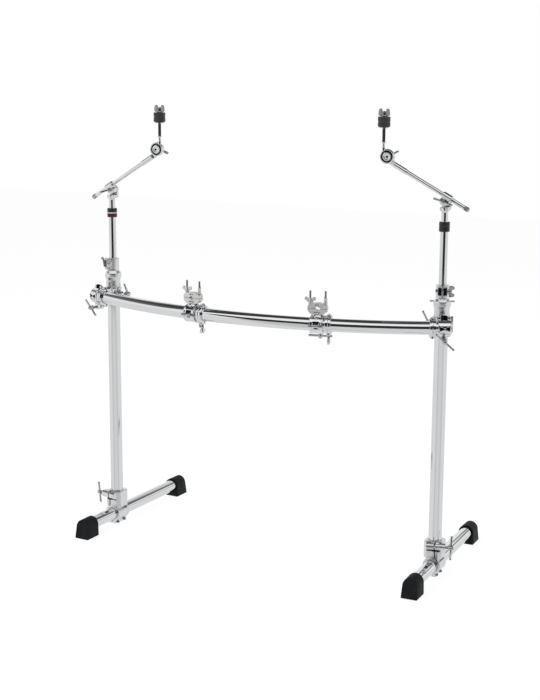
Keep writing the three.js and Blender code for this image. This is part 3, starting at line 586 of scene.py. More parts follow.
class Shader(Nodes):
    """The node tree of a material or of the world."""

    def __init__(self, owner, output):
        owner.use_nodes = True
        self.tree = owner.node_tree
        self.tree.nodes.clear()
        self.output = self.tree.nodes.new(output)

    def value(self, kind, settings=None, values=None, output=0):
        return Value(self, self.node(kind, settings, values).outputs[output])

    def noise(self, coords, scale, detail=3.0, rough=0.5):
        return self.value("ShaderNodeTexNoise", {"noise_dimensions": "3D"}, {
            "Vector": coords, "Scale": scale, "Detail": detail, "Roughness": rough,
        }, "Fac")

    def ramp(self, low, high, number, out_low=0.0, out_high=1.0):
        """A number eased from one range into another."""
        return self.value("ShaderNodeMapRange", {"interpolation_type": "SMOOTHSTEP"}, {
            "Value": number, "From Min": low, "From Max": high, "To Min": out_low, "To Max": out_high,
        }, "Result")

    def blend(self, share, first, second):
        """A colour between two colours."""
        return self.node("ShaderNodeMix", {"data_type": "RGBA"}, {0: share, 6: first, 7: second}).outputs[2]

    def shades(self, share, base, low, high):
        """A colour between a darker and a lighter shade of it."""
        return self.blend(share, colour(base, low), colour(base, high))

    def coords(self):
        return self.node("ShaderNodeTexCoord").outputs["Object"]

    def stretched(self, coords, scale):
        return self.node("ShaderNodeMapping", None, {"Vector": coords, "Scale": scale}).outputs["Vector"]

    def creases(self):
        """How deep in a crease, or how sharp at a rim, a casting is: where shade is painted on."""
        mark = self.node("ShaderNodeAttribute", {"attribute_name": "crease"})
        return self.ramp(0.1, 0.9, Value(self, mark.outputs["Fac"]))

    def bump(self, height, distance, strength=1.0, before=None):
        values = {"Height": height, "Distance": distance, "Strength": strength}
        if before is not None:
            values["Normal"] = before
        return self.node("ShaderNodeBump", None, values).outputs["Normal"]

    def surface(self, base, roughness, normal, values=None):
        inputs = {"Base Color": base, "Roughness": roughness, "Normal": normal}
        self.output_from(self.node("ShaderNodeBsdfPrincipled", None, {**inputs, **(values or {})}))

    def output_from(self, node):
        self.tree.links.new(node.outputs[0], self.output.inputs["Surface"])


def colour(value, scale=1.0):
    return (value[0] * scale, value[1] * scale, value[2] * scale, 1.0)


# Each plating's share of the tint, share of the haze, added roughness and swell in metres
PLATINGS = {
    "Tube chrome": (1.0, 1.0, 0.0, 0.000004),
    "Cast chrome": (1.0, 1.25, 0.0, 0.00014),
    "Soft chrome": (1.0, 1.25, 0.16, 0.0002),
    # Painted shade: the wing and handle platings take a smaller share of the tint, darker copies of the same
    # chrome.
    "Wing chrome painted darker": (0.45, 1.6, 0.0, 0.0001),
    "Handle chrome painted darker": (0.68, 2.5, 0.0, 0.00006),
}


def make_chrome(shader, finishes, shade, dullness, blur, ripple):
    """Plated metal: faint haze, wipe marks, painted shade in creases and on rims, and a slow waviness of the
    casting under it.
    """
    tint = [share * shade for share in finishes.chrome]
    rough = finishes.polish * dullness + blur
    crease_shade = shader.creases()
    coords = shader.coords()
    haze = shader.noise(coords, 9.0, 4.0, 0.6)
    wipes = shader.noise(shader.stretched(coords, (60.0, 60.0, 400.0)), 1.0, 2.0)
    grain = shader.noise(coords, 900.0, 2.0)
    swell = shader.noise(coords, 70.0, 2.0, 0.4)
    plating = shader.shades(shader.ramp(0.3, 0.75, haze), tint, 0.97, 1.0)
    # Painted shade: creases and rims are darkened towards a tenth of the tint.
    base = shader.blend(crease_shade, plating, colour(tint, 0.1))
    roughness = shader.ramp(0.35, 0.8, haze, rough, rough * 1.7) + wipes * rough * 0.4 + crease_shade * 0.25
    normal = shader.bump(grain, 0.00001, 0.25, shader.bump(swell, ripple))
    shader.surface(base, roughness, normal, {"Metallic": 1.0})


def make_satin(shader, finishes):
    """Blasted zinc of the jaws: grey and slightly pitted."""
    coords = shader.coords()
    cloud = shader.noise(coords, 60.0, 4.0, 0.6)
    pits = shader.noise(coords, 1400.0, 3.0, 0.6)
    clean = shader.shades(shader.ramp(0.3, 0.7, cloud), finishes.satin, 0.9, 1.06)
    # Painted shade: creases and rims are darkened towards 0.12 of the jaw grey.
    base = shader.blend(shader.creases(), clean, colour(finishes.satin, 0.12))
    roughness = shader.ramp(0.3, 0.7, cloud, 0.3, 0.4) + pits * 0.06
    shader.surface(base, roughness, shader.bump(pits, 0.00008, 0.5), {"Metallic": 0.85})


def make_screw_steel(shader, finishes):
    """Zinc-plated steel of threads and pins."""
    coords = shader.coords()
    cloud = shader.noise(coords, 120.0, 3.0)
    base = shader.shades(cloud, finishes.steel, 0.8, 1.1)
    roughness = shader.ramp(0.3, 0.7, cloud, 0.22, 0.36)
    normal = shader.bump(shader.noise(coords, 1800.0, 2.0), 0.00002, 0.5)
    shader.surface(base, roughness, normal, {"Metallic": 1.0})


def make_rubber(shader, finishes):
    """Moulded slate rubber: mottled, dusty on its flats, with a fine leathery grain."""
    coords = shader.coords()
    mottle = shader.noise(coords, 45.0, 5.0, 0.62)
    dust = shader.noise(coords, 14.0, 3.0)
    grain = shader.noise(coords, 1500.0, 3.0, 0.7)
    pocks = shader.value("ShaderNodeTexVoronoi", {"feature": "SMOOTH_F1"}, {"Vector": coords, "Scale": 700.0})
    base = shader.shades(shader.ramp(0.35, 0.75, mottle), finishes.rubber, 0.8, 1.35)
    dusty = shader.blend(shader.ramp(0.5, 0.8, dust, 0.0, 0.3), base, colour(finishes.rubber, 2.6))
    roughness = shader.ramp(0.3, 0.7, mottle, 0.5, 0.64) + grain * 0.08
    normal = shader.bump(pocks, 0.00012, 0.35, shader.bump(grain, 0.00016, 0.6))
    shader.surface(dusty, roughness, normal, {"Specular IOR Level": 0.16})


def make_plastic(shader, finishes):
    """Black moulded plastic: nearly smooth, with a soft moulding texture."""
    coords = shader.coords()
    cloud = shader.noise(coords, 80.0, 3.0)
    texture = shader.noise(coords, 1200.0, 2.0)
    base = shader.shades(shader.ramp(0.3, 0.7, cloud), finishes.plastic, 0.8, 1.3)
    roughness = shader.ramp(0.3, 0.7, cloud, 0.3, 0.42)
    shader.surface(base, roughness, shader.bump(texture, 0.00004, 0.4))


def make_hollow(shader, finishes):
    """The unlit inside of sockets and recesses: dull black with a trace of grease."""
    coords = shader.coords()
    cloud = shader.noise(coords, 200.0, 3.0)
    base = shader.blend(cloud, colour((0.002, 0.002, 0.002)), colour((0.006, 0.006, 0.007)))
    roughness = shader.ramp(0.3, 0.7, cloud, 0.75, 0.9)
    shader.surface(base, roughness, shader.bump(cloud, 0.00005, 0.3), {"Specular IOR Level": 0.1})


def make_felt(shader, finishes):
    """Pressed wool: short fibres lying every way, with a dull nap."""
    coords = shader.coords()
    fibres = shader.noise(shader.stretched(coords, (900.0, 900.0, 2600.0)), 1.0, 5.0, 0.75)
    tufts = shader.noise(coords, 260.0, 4.0, 0.7)
    base = shader.shades(shader.ramp(0.35, 0.7, tufts), finishes.felt, 0.6, 1.6)
    lint = shader.blend(shader.ramp(0.66, 0.8, fibres, 0.0, 0.5), base, colour(finishes.felt, 3.5))
    roughness = shader.ramp(0.3, 0.7, tufts, 0.88, 0.98)
    normal = shader.bump(fibres, 0.0002, 0.8, shader.bump(tufts, 0.0006, 0.6))
    shader.surface(lint, roughness, normal, {"Sheen Weight": 0.35, "Sheen Roughness": 0.6})


def make_stripe(shader, finishes):
    """Dark red and black bushing with a pale line round its middle."""
    coords = shader.coords()
    height = Value(shader, shader.node("ShaderNodeSeparateXYZ", None, {"Vector": coords}).outputs["Z"])
    middle = JOINTS["left_boom_turn"]["pos_m"][2] - (MAST["pivot_rise"] + MAST["band_height"] / 2) * MM
    across = (height - middle) / MM
    away = shader.value("ShaderNodeMath", {"operation": "ABSOLUTE"}, {0: across})
    line = shader.ramp(1.6, 2.0, away, 1.0, 0.0)
    lower = shader.ramp(-0.4, 0.4, across, 0.0, 1.0)
    cloud = shader.noise(coords, 300.0, 3.0)
    ground = shader.blend(lower, colour(finishes.stripe_ground), colour(finishes.plastic))
    worn = shader.blend(cloud * 0.3, ground, colour(finishes.plastic, 2.0))
    base = shader.blend(line, worn, colour(finishes.stripe_line))
    roughness = shader.ramp(0.3, 0.7, cloud, 0.3, 0.45)
    shader.surface(base, roughness, shader.bump(shader.noise(coords, 1200.0, 2.0), 0.00004, 0.4))


FINISHES = {
    "Satin jaw metal": make_satin,
    "Screw steel": make_screw_steel,
    "Slate rubber": make_rubber,
    "Black plastic": make_plastic,
    "Dark recess": make_hollow,
    "Black felt": make_felt,
    "Striped bushing": make_stripe,
}


def material(name):
    """A finish by name, made the first time it is asked for."""
    if name not in bpy.data.materials:
        shader = Shader(bpy.data.materials.new(name), "ShaderNodeOutputMaterial")
        finishes = bpy.context.scene.rack_finishes
        if name in PLATINGS:
            make_chrome(shader, finishes, *PLATINGS[name])
        else:
            FINISHES[name](shader, finishes)
    return bpy.data.materials[name]


# Places, all from the joints of the frame

def shift(vector):
    return Matrix.Translation(vector)


def off(x, y, z):
    """A shift given in millimetres."""
    return shift((x * MM, y * MM, z * MM))


def spun(angle, axis="Z"):
    return Matrix.Rotation(angle, 4, axis)


def mirror(sign):
    return Matrix.Diagonal((sign, 1, 1, 1))


def pivot(name):
    return Vector(JOINTS[name]["pos_m"])


def upright_place(side):
    return shift(pivot(side + "_leg_turn"))


def leg_angle(side):
    aim = JOINTS[side + "_leg_slide"]["axis"]
    return math.atan2(-aim[0], aim[1])


def leg_place(side, sign):
    """The leg clamp's frame: turned with the leg, its tube along Y."""
    return upright_place(side) @ spun(leg_angle(side)) @ mirror(sign)


def corner_angle(side="right"):
    """How far a corner clamp is turned to face along the bar's end."""
    aim = JOINTS[side + "_bar_handle_turn"]["axis"]
    return math.atan2(aim[0], -aim[1])


def corner_place(side, sign):
    return upright_place(side) @ off(0, 0, RACK["bar_height"]) @ spun(corner_angle(side)) @ mirror(sign)


def mast_place(side):
    high = pivot(side + "_boom_turn")
    return shift(high - Vector((0, 0, (MAST["band_height"] + MAST["pivot_rise"]) * MM)))


def on_boom(side, sign, joint):
    """A frame on the boom at a joint: the rod along X, falling outwards."""
    aim = JOINTS[side + "_boom_slide"]["axis"]
    return shift(pivot(side + joint)) @ spun(math.atan2(aim[2], abs(aim[0])) * sign, "Y") @ mirror(sign)


def bar_angle(side):
    """A bar clamp's place on the bar, as an angle about the centre of the arc."""
    centre = pivot(side + "_clamp_travel")
    here = pivot(side + "_jaw_turn")
    return math.atan2(here.x - centre.x, centre.y - here.y)


def bar_end():
    """The angle of the bar's right end about the centre of the arc."""
    return corner_angle() + RACK["overhang"] / RACK["bar_radius"]


def on_bar(angle):
    """A frame on the bar: X along it, at an angle about the centre of the arc."""
    centre = pivot("left_clamp_travel")
    reach = RACK["bar_radius"] * MM
    x, y = centre.x + reach * math.sin(angle), centre.y - reach * math.cos(angle)
    return shift((x, y, RACK["bar_height"] * MM)) @ spun(angle)


def screw_place(side, joint, angle=0.0):
    """A screw's frame: its axis along Z, set in a part turned about Z by an angle, with its rest spin."""
    record = JOINTS[f"{side}_{joint}_turn"]
    part = spun(angle)
    aim = part.inverted() @ Vector(record["axis"])
    if aim.z < -0.99:
        turn = spun(math.pi, "Y")
    else:
        turn = Vector((0, 0, 1)).rotation_difference(aim).to_matrix().to_4x4()
    return shift(Vector(record["pos_m"])) @ part @ turn @ spun(math.radians(SPINS[side][joint]))


# Small hardware

def add_socket_screw(name, matrix, body, radius, length):
    """A socket screw's head along Z, its face at z = 0 and its hexagon sunk in."""
    dish = radius * 0.56
    head = lathe([
        (0, -length), (radius, -length), (radius, -0.5), (radius - 0.5, 0), (dish, 0), (dish, -1.4),
        (0, -1.4),
    ], 32)
    piece(name, mesh_of(head), matrix, "Screw steel", body, sharp=40)
    # Painted shade: a dark disc at the bottom of the socket, cut to a hexagon.
    add_recess(name + "_hexagon", matrix, body, prism(arc(0, 0, radius * 0.54, 0, 300, 5), -1.5, -0.9))


def domed_bar(axis, radius, half):
    """A bar with round ends and a short neck before each."""
    tip = half - radius * 0.8
    return lathe(mirrored([
        (0, -half), (radius * 0.62, -half + 0.5), (radius * 0.94, -half + 1.4), (radius, -tip),
        (radius, -tip + 2), (radius * 0.9, -tip + 3),
    ]), 28, axis)


def handle_mesh(shank):
    """T-handled screw: hub from z = 0, cross bar along X, shank below."""
    hub, flange, top = HANDLE["hub"], HANDLE["flange"], HANDLE["length"]
    barrel = lathe([
        (0, -0.2), (flange - 0.6, -0.2), (flange, 0.4), (flange, 1.4), (flange - 0.8, 2.2), (hub - 0.7, 3.2),
        (hub - 0.2, 5), (hub, 8), (hub - 0.2, 11), (hub - 0.9, top - 2.2), (hub - 2.2, top - 0.6),
        (hub - 4.2, top), (0, top),
    ], 36)
    cross = domed_bar("x", HANDLE["bar"], HANDLE["half"]).at(0, 0, top / 2)
    return mesh_of(barrel, cross, rod("z", HANDLE["shank"], -shank, 1, 0.5, 24))


def wing_outline(span, rise, tip, root):
    """Butterfly ears seen from the side, with the saddle between them."""
    right = [(root, 0)] + arc(span - tip, tip, tip, -50, 0, 4)
    right += arc(span - tip, rise - tip * 0.8, tip * 0.8, 0, 120, 8) + [(root, rise * 0.42)]
    return right + [(-x, z) for x, z in reversed(right)]


def wing_screw_mesh(shank, span):
    """Wing screw: hub from z = 0, ears above it, shank below."""
    hub, half = WING["hub"], WING["thickness"] / 2
    ears = slab(wing_outline(span, WING["rise"], WING["tip"], WING["root"]), -half, half).at(0, 0, 2)
    barrel = lathe([
        (0, 0), (hub, 0), (hub + 0.3, 1.2), (hub, 3), (hub - 0.8, 7.5), (hub - 1.6, 10), (hub - 3, 11.2),
        (0, 11.6),
    ], 36)
    shaft = mesh_of(rod("z", WING["shank"], -shank, 2, 0.4, 20))
    return joined(cast([ears, barrel], cell=fine(), passes=7), shaft)


def add_screw(side, joint, node, angle=0.0):
    """A screw turned by hand on its joint: winged where it has a span, T-handled where it has none."""
    body = side + "_" + joint
    matrix = screw_place(side, joint, angle)
    shank = SHANKS[joint]
    if joint in SPANS:
        radius = WING["thread"]
        piece(body + "_wings", wing_screw_mesh(shank, SPANS[joint]), matrix, "Wing chrome painted darker", body, [node])
    else:
        radius = HANDLE["thread"]
        piece(body + "_t_bar", handle_mesh(shank), matrix, "Handle chrome painted darker", body, [node], sharp=38)
    add_thread(body + "_thread", matrix, body, radius, -shank + 1, -0.5)


def ball_wing_nut():
    """Wing nut with round ears on short arms."""
    hub, height, reach, high = (JAW_NUT[name] for name in ("hub", "height", "reach", "high"))
    parts = [lathe([
        (0, 0), (hub, 0), (hub, 2), (hub - 0.6, 3), (4.6, height - 2), (4.2, height), (0, height),
    ], 32)]
    for end in (-1, 1):
        parts.append(slab([
            (end * 2, 2), (end * 5.4, 2), (end * (reach + 4), high - 1), (end * (reach - 4), high + 2),
            (end * 2, height - 4),
        ], -1.9, 1.9))
        parts.append(rod("y", JAW_NUT["ear"], -2.1, 2.1, 0.8, 28).at(end * reach, 0, high))
    return cast(parts, cell=fine(), passes=6)


# Hinged wraps: the tube runs along Z, the split lies in y = 0, the hinge is at +X and the lug at -X

def half_disc(front, width, radius):
    """Half of a wrap's shell, flat along the split."""
    start = 180 if front else 0
    slit = WRAP["slit"]
    keep = [(x, y) for x, y in arc(0, 0, radius, start, start + 180, 40) if abs(y) > slit]
    chord = math.sqrt(radius ** 2 - slit ** 2)
    flat = -slit if front else slit
    first, last = ((-chord, flat), (chord, flat)) if front else ((chord, flat), (-chord, flat))
    return prism([first] + keep + [last], -width / 2, width / 2)


def wrap_lug(front, radius, reach, lug_at, lug_width):
    """The lug for the screw, round at its end."""
    near, deep = WRAP["slit"], WRAP["slit"] + WRAP["lug_depth"]
    half = lug_width / 2
    end = [(x, z + lug_at) for x, z in arc(-reach + half, 0, half, 90, 270, 16)]
    outline = [(-radius + 6, lug_at + half + 3), (-radius - 1, lug_at + half)] + end
    outline += [(-radius - 1, lug_at - half), (-radius + 6, lug_at - half - 3)]
    low, high = (-deep, -near) if front else (near, deep)
    return slab(outline, low, high)


def wrap_knuckle(front, radius, reach, low, high):
    """A hinge barrel and the link to the shell."""
    near, deep = WRAP["slit"], WRAP["knuckle"]
    y0, y1 = (-deep, -near) if front else (near, deep)
    link = block(radius - 4, reach, y0, y1, low, high)
    return rod("z", WRAP["knuckle"], low, high, 0, 28).at(reach, 0, 0) + link


def wrap_half(front, width, lug_at, lug_width, radius, knuckles):
    """Half a wrap: its shell, its lug and its knuckles of the hinge."""
    grow = radius - WRAP["radius"]
    form = half_disc(front, width, radius)
    form = form + wrap_lug(front, radius, WRAP["lug_reach"] + grow, lug_at, lug_width)
    for low, high in knuckles:
        form = form + wrap_knuckle(front, radius, WRAP["hinge"] + grow, low, high)
    return form


def fixed_half(width, lug_at, lug_width, radius=WRAP["radius"]):
    return wrap_half(True, width, lug_at, lug_width, radius, [(-width / 4, width / 4)])


def strap_half(width, lug_at, lug_width, radius=WRAP["radius"]):
    near, far = width / 4 + 0.4, width / 2
    return wrap_half(False, width, lug_at, lug_width, radius, [(near, far), (-far, -near)])


def hinge_pin(width, radius=WRAP["radius"]):
    """A riveted pin through the knuckles, its heads just proud."""
    half, pin = width / 2, WRAP["pin"]
    return lathe(mirrored([
        (0, -half - 1.2), (pin * 0.8, -half - 1), (pin * 1.15, -half - 0.4), (pin * 1.15, -half + 0.3),
        (pin, -half + 0.4),
    ]), 24).at(WRAP["hinge"] + radius - WRAP["radius"], 0, 0)


# Legs

def foot_outline(half, share_y, inset=0.0):
    """The foot's arched outline at one depth; share_y gives the depth for a height."""
    centre = LEG["height"]
    crown = centre + FOOT["arch"]
    base = FOOT["base"] - inset
    corner = FOOT["corner"]
    points = arc(-base + corner, inset + corner, corner, 180, 270, 4)
    points += arc(base - corner, inset + corner, corner, 270, 360, 4)
    arch = half - inset
    rise = crown - inset - centre
    for i in range(31):
        angle = math.pi * i / 30
        points.append((arch * math.cos(angle), centre + rise * math.sin(angle)))
    return [(x, share_y(z / crown), z) for x, z in points]


def foot_mesh():
    """Rubber foot: mouth at y = 0, closed nose towards +Y, sole at z = 0."""
    mouth, nose = FOOT["arch"], FOOT["arch"] - FOOT["nose"]

    def face(back):
        return lambda rise: FOOT["length"] - FOOT["lean"] * rise - back

    count = len(foot_outline(mouth, face(0)))

    def circle(radius, y):
        turns = [math.radians(200) + math.tau * i / count for i in range(count)]
        return [(radius * math.cos(turn), y, LEG["height"] + radius * math.sin(turn)) for turn in turns]

    depth = FOOT["length"] - FOOT["lean"] - 4
    sections = [
        foot_outline(nose - 5, face(1.0), 5.4),
        foot_outline(nose - 3.6, face(0.9), 4.0),
        foot_outline(nose - 3.0, face(0.1), 3.2),
        foot_outline(nose - 1.2, face(0.0), 1.2),
        foot_outline(nose - 0.35, face(0.4), 0.4),
        foot_outline(nose, face(1.4), 0.0),
        foot_outline(nose + 0.9, lambda rise: 26.0),
        foot_outline(mouth - 0.2, lambda rise: 6.5),
        foot_outline(mouth, lambda rise: 5.2),
        foot_outline(mouth, lambda rise: 1.2),
        foot_outline(mouth - 0.3, lambda rise: 0.35, 0.2),
        foot_outline(mouth - 1.2, lambda rise: 0.0, 1.0),
        circle(TUBE["bore"] + 0.9, 0.0),
        circle(TUBE["bore"], 0.9),
        circle(TUBE["bore"], depth),
    ]
    return mesh_of(skin(sections))


def add_legs(side, sign):
    body = side + "_leg"
    place = leg_place(side, sign) @ off(0, LEG["offset"][side], 0)
    leg = pipe("y", TUBE["radius"], TUBE["inner"], -LEG["half"], LEG["half"])
    piece(side + "_leg_tube_chrome", mesh_of(leg.at(0, 0, LEG["height"])), place, "Tube chrome", body,
          [side + "_leg_tube"], sharp=35)
    foot = foot_mesh()
    for end, turn in (("front", 180), ("back", 0)):
        spot = place @ spun(math.radians(turn)) @ off(0, FOOT["mouth"], 0)
        piece(f"{side}_foot_{end}_rubber", foot, spot, "Slate rubber", body, [f"{side}_foot_{end}"],
              sharp=50)


def leg_clamp_mesh():
    """Socket round the upright, saddle round the leg tube and the lug for the screw."""
    size = LEG_CLAMP
    centre, top, half = LEG["height"], size["top"], size["half"]
    corners = [(18, -27), (27, -18), (27, 18), (18, 27), (-18, 27), (-27, 18), (-27, -18), (-18, -27)]
    lug = plank([(-12, 11)] + arc(-25.5, 0, 11, 90, 270, 20) + [(-12, -11)], -22, 34)
    solids = [
        prism(corners, size["neck"], top - 1.4),
        prism([(x * 0.975, y * 0.975) for x, y in corners], top - 4, top),
        rod("z", 23, 44, 60),
        rod("y", 25.65, -half, half, 0, 64).at(0, 0, centre),
        rod("y", 26.7, -half, 4 - half, 0, 64).at(0, 0, centre),
        rod("y", 26.7, half - 4, half, 0, 64).at(0, 0, centre),
        block(-13, 13, -half, half, 4.6, 18),
        lug.turned(size["lug_turn"], "Z").at(0, 0, size["bolt"]),
    ]
    for end in (-1, 1):
        solids.append(rod("x", 6.4, -13, 13, 0, 32).at(0, end * size["screw_place"], size["screw_height"]))
    cutters = [
        rod("z", TUBE["bore"], 59.5, 130, 0, 72),
        bore("y", reach=40).at(0, 0, centre),
        block(8, 11, -54, 0, 60, 120),
        block(-21, 19, -34, -24.5, 81, 88).turned(size["lug_turn"], "Z"),
        block(-1.5, 1.5, -40, 40, -6, 18.2),
        block(14, 40, -22, 22, 48, 58.2),
        block(-40, -14, -22, 22, 48, 58.2),
    ]
    return cast(solids, cutters)


def add_leg_clamp(side, sign):
    body = side + "_leg_clamp"
    place = leg_place(side, sign)
    size = LEG_CLAMP
    piece(body + "_casting", leg_clamp_mesh(), place, "Soft chrome", body, [body + "_body"])
    # Painted shade: dark sheets in the screw slot, and a painted shadow under the lug.
    shadow_under_lug = block(-20.6, 18.6, -24.7, -24.1, 81.3, 87.7).turned(size["lug_turn"], "Z")
    add_recess(body + "_gaps", place, body, block(8.1, 10.9, -25.6, -20.4, 61, 80.5),
               block(8.1, 10.9, -25.6, -20.4, 104.5, 109.3), shadow_under_lug)
    for label, y in (("front", -size["screw_place"]), ("back", size["screw_place"])):
        for word, end in (("inner", -1), ("outer", 1)):
            spot = place @ off(end * 17.6, y, size["screw_height"]) @ spun(math.radians(90 * end), "Y")
            add_socket_screw(f"{body}_screw_{label}_{word}", spot, body, 4.2, 6)
    add_screw(side, "leg_handle", side + "_leg_clamp_handle", leg_angle(side))


# Corner clamps

def collars(*lows):
    """Beads round the upright, each given by its lower face."""
    return [rod("z", WRAP["radius"] + 0.9, low, low + 5, 0, 64) for low in lows]


def corner_body_mesh():
    """Front half of the upright's wrap and rear half of the bar's, on one web."""
    size = CORNER
    back = -size["offset"]
    solids = [
        fixed_half(size["upright_width"], *size["upright_lug"]),
        fixed_half(size["bar_width"], *size["bar_lug"]).moved(ONTO_BAR).at(0, back, 0),
        block(-16, 16, back + 1.5, -1.5, -20, 20),
        *collars(17, -22),
        block(-3, 3, back - 2, -18, -24, 24),
    ]
    cutters = [
        bore("z"), bore("x", 0.4).at(0, back, 0), block(-60, 60, -1.5, 60, -40, 40),
        block(-60, 60, -200, back + 1.5, -60, 60),
    ]
    return cast(solids, cutters)


def bow_tie(half, end, waist, rise):
    """A plate's outline, drawn in at its middle."""
    return [
        (-half, rise - end), (-half, rise + end), (0, rise + waist), (half, rise + end), (half, rise - end),
        (0, rise - waist),
    ]


def bar_strap_mesh():
    """Hinged half of the bar's wrap, with a hollow shaped like a bow tie."""
    back = -CORNER["offset"]
    strap = strap_half(CORNER["bar_width"], *CORNER["bar_lug"]).moved(ONTO_BAR).at(0, back, 0)
    brow = rod("x", WRAP["radius"] + 1.1, -15, 15, 0, 64).at(0, back, 0)
    cutters = [
        bore("x", 0.4).at(0, back, 0), block(-60, 60, back - 1.5, 60, -60, 60),
        slab(bow_tie(14.4, 6.4, 1.0, 1.5), -120, back - 21),
    ]
    return cast([strap, brow], cutters)


def upright_strap_mesh():
    """Hinged half of the upright's wrap."""
    strap = strap_half(CORNER["upright_width"], *CORNER["upright_lug"])
    return cast([strap, *collars(-22, 17)], [bore("z"), block(-60, 60, -60, 1.5, -60, 60)])


def lock_ring(width, radius):
    """Split ring round the bar with a lug above and below; the bar axis is X."""
    half = width / 2
    lug, deep, slit = LOCK["lug"], LOCK["deep"], LOCK["slit"]
    solids = [rod("x", radius, -half, half, 0, 72)]
    solids += [rod("y", lug, -deep, deep, 0, 36).at(0, 0, end * (radius - 1.5)) for end in (1, -1)]
    groove = pipe("x", radius + 3, radius - 0.9, -1.1, 1.1, 0.01)
    return cast(solids, [bore("x", 0.3, 50), block(-50, 50, -slit, slit, -60, 60), groove], cell=0.8)


def add_lock_screws(name, matrix, body, height):
    """The screws in the two lugs of a lock ring."""
    for word, end in (("top", 1), ("bottom", -1)):
        spot = matrix @ off(0, LOCK["front"], end * height) @ TO_FRONT
        add_socket_screw(f"{name}_{word}", spot, body, LOCK["screw"], 8)


def add_corner(side, sign):
    place = corner_place(side, sign)
    back = -CORNER["offset"]
    clamp = side + "_corner_clamp"
    piece(side + "_corner_casting", corner_body_mesh(), place, "Cast chrome", "bar", [clamp + "_body"])
    piece(side + "_bar_strap", bar_strap_mesh(), place, "Cast chrome", "bar", [clamp + "_bar_strap"])
    piece(side + "_upright_strap", upright_strap_mesh(), place, "Cast chrome", "bar",
          [clamp + "_upright_strap"])
    # Painted shade: a dark sheet in the bow-tie hollow of the bar strap.
    shade_sheet = slab(bow_tie(14.2, 6.1, 0.9, 1.5), back - 21.9, back - 20.8)
    add_recess(side + "_bar_strap_recess", place, "bar", shade_sheet)
    pins = mesh_of(
        hinge_pin(CORNER["bar_width"]).moved(ONTO_BAR).at(0, back, 0), hinge_pin(CORNER["upright_width"]),
    )
    piece(side + "_hinge_pins", pins, place, "Screw steel", "bar", sharp=40)
    bush = lathe(mirrored([(0, -8.7), (4.7, -8.7), (5.1, -8.3)]), 32).at(WRAP["hinge"], 0, 0)
    add_recess(side + "_hinge_bush", place, "bar", bush.moved(ONTO_BAR).at(0, back, 0))
    add_screw(side, "bar_handle", clamp + "_bar_handle", corner_angle(side))
    add_screw(side, "upright_handle", clamp + "_upright_handle", corner_angle(side))
    lock_at = corner_angle() - CORNER["lock_spacing"] / RACK["bar_radius"]
    spot = on_bar(sign * lock_at) @ mirror(sign)
    ring = lock_ring(LOCK["width"], LOCK["radius"])
    piece(side + "_memory_lock_ring", ring, spot, "Cast chrome", "bar", [side + "_memory_lock"])
    add_lock_screws(side + "_memory_lock_screw", spot, "bar", LOCK["high"])


# Tubes

def bar_mesh():
    """The arched bar, its wall open at the ends, swept along its arc."""
    angle = bar_end()
    inner = TUBE["inner"]
    rows = []
    edge = TUBE["edge"]
    steps = RACK["bar_steps"]
    turns = [(-angle, inner), (-angle, TUBE["radius"] - edge)]
    nudge = edge / RACK["bar_radius"]
    for i in range(steps + 1):
        turns.append((-angle + nudge + (angle - nudge) * 2 * i / steps, TUBE["radius"]))
    turns += [(angle, TUBE["radius"] - edge), (angle, inner)]
    turns += [(angle - angle * 2 * i / steps, inner) for i in range(1, steps)]
    centre = pivot("left_clamp_travel") / MM
    sides = 64
    for turn, radius in turns:
        row = []
        for i in range(sides):
            around = math.tau * i / sides
            reach = RACK["bar_radius"] + radius * math.cos(around)
            row.append((
                centre.x + reach * math.sin(turn), centre.y - reach * math.cos(turn),
                RACK["bar_height"] + radius * math.sin(around),
            ))
        rows.append(row)
    return mesh_of(skin(rows, loop=True))


def bushing_mesh():
    """The band round the top of a mast, grooved at half height."""
    band, high, inner = MAST["band"], MAST["band_height"], MAST["radius"] + 0.05
    return mesh_of(lathe([
        (inner, 0), (band - 1.2, 0), (band - 0.3, 0.4), (band, 1.3), (band, high * 0.46),
        (band - 0.35, high * 0.48), (band - 0.35, high * 0.52), (band, high * 0.54), (band, high - 1.6),
        (band - 0.5, high - 0.6), (band - 1.6, high), (9.7, high), (9.7, high - 0.3), (inner, high - 0.3),
    ], 56))


def add_tubes():
    piece("curved_bar_chrome", bar_mesh(), Matrix.Identity(4), "Tube chrome", "bar", ["curved_bar"], sharp=35)
    inner = TUBE["inner"]
    cap = lathe([
        (0, -9), (inner - 0.3, -9), (inner - 0.1, -2), (inner - 0.1, 0.4), (inner - 0.6, 1.0),
        (inner - 3, 1.5), (0, 1.9),
    ], 48, "x")
    for side, sign in SIDES:
        piece(side + "_bar_plug", mesh_of(cap), on_bar(sign * bar_end()) @ mirror(sign) @ off(-2.1, 0, 0),
              "Black plastic", "bar", sharp=40)
        tube = mesh_of(pipe("z", TUBE["radius"], inner, UPRIGHT["low"], UPRIGHT["high"]))
        piece(side + "_upright_chrome", tube, upright_place(side), "Tube chrome", "uprights",
              [side + "_upright_tube"], sharp=35)
        mast, high = MAST["radius"], MAST["band_height"]
        pole = mesh_of(pipe("z", mast, mast - MAST["wall"], high - MAST["length"], high - 0.4, 0.4, 64))
        spot = mast_place(side)
        piece(side + "_mast_chrome", pole, spot, "Tube chrome", side + "_mast", [side + "_mast_tube"],
              sharp=35)
        finish = "Striped bushing" if side == "left" else "Black plastic"
        piece(side + "_mast_bushing", bushing_mesh(), spot, finish, side + "_mast", sharp=40)


# Mast clamps

def ease(share):
    return share * share * (3 - 2 * share)


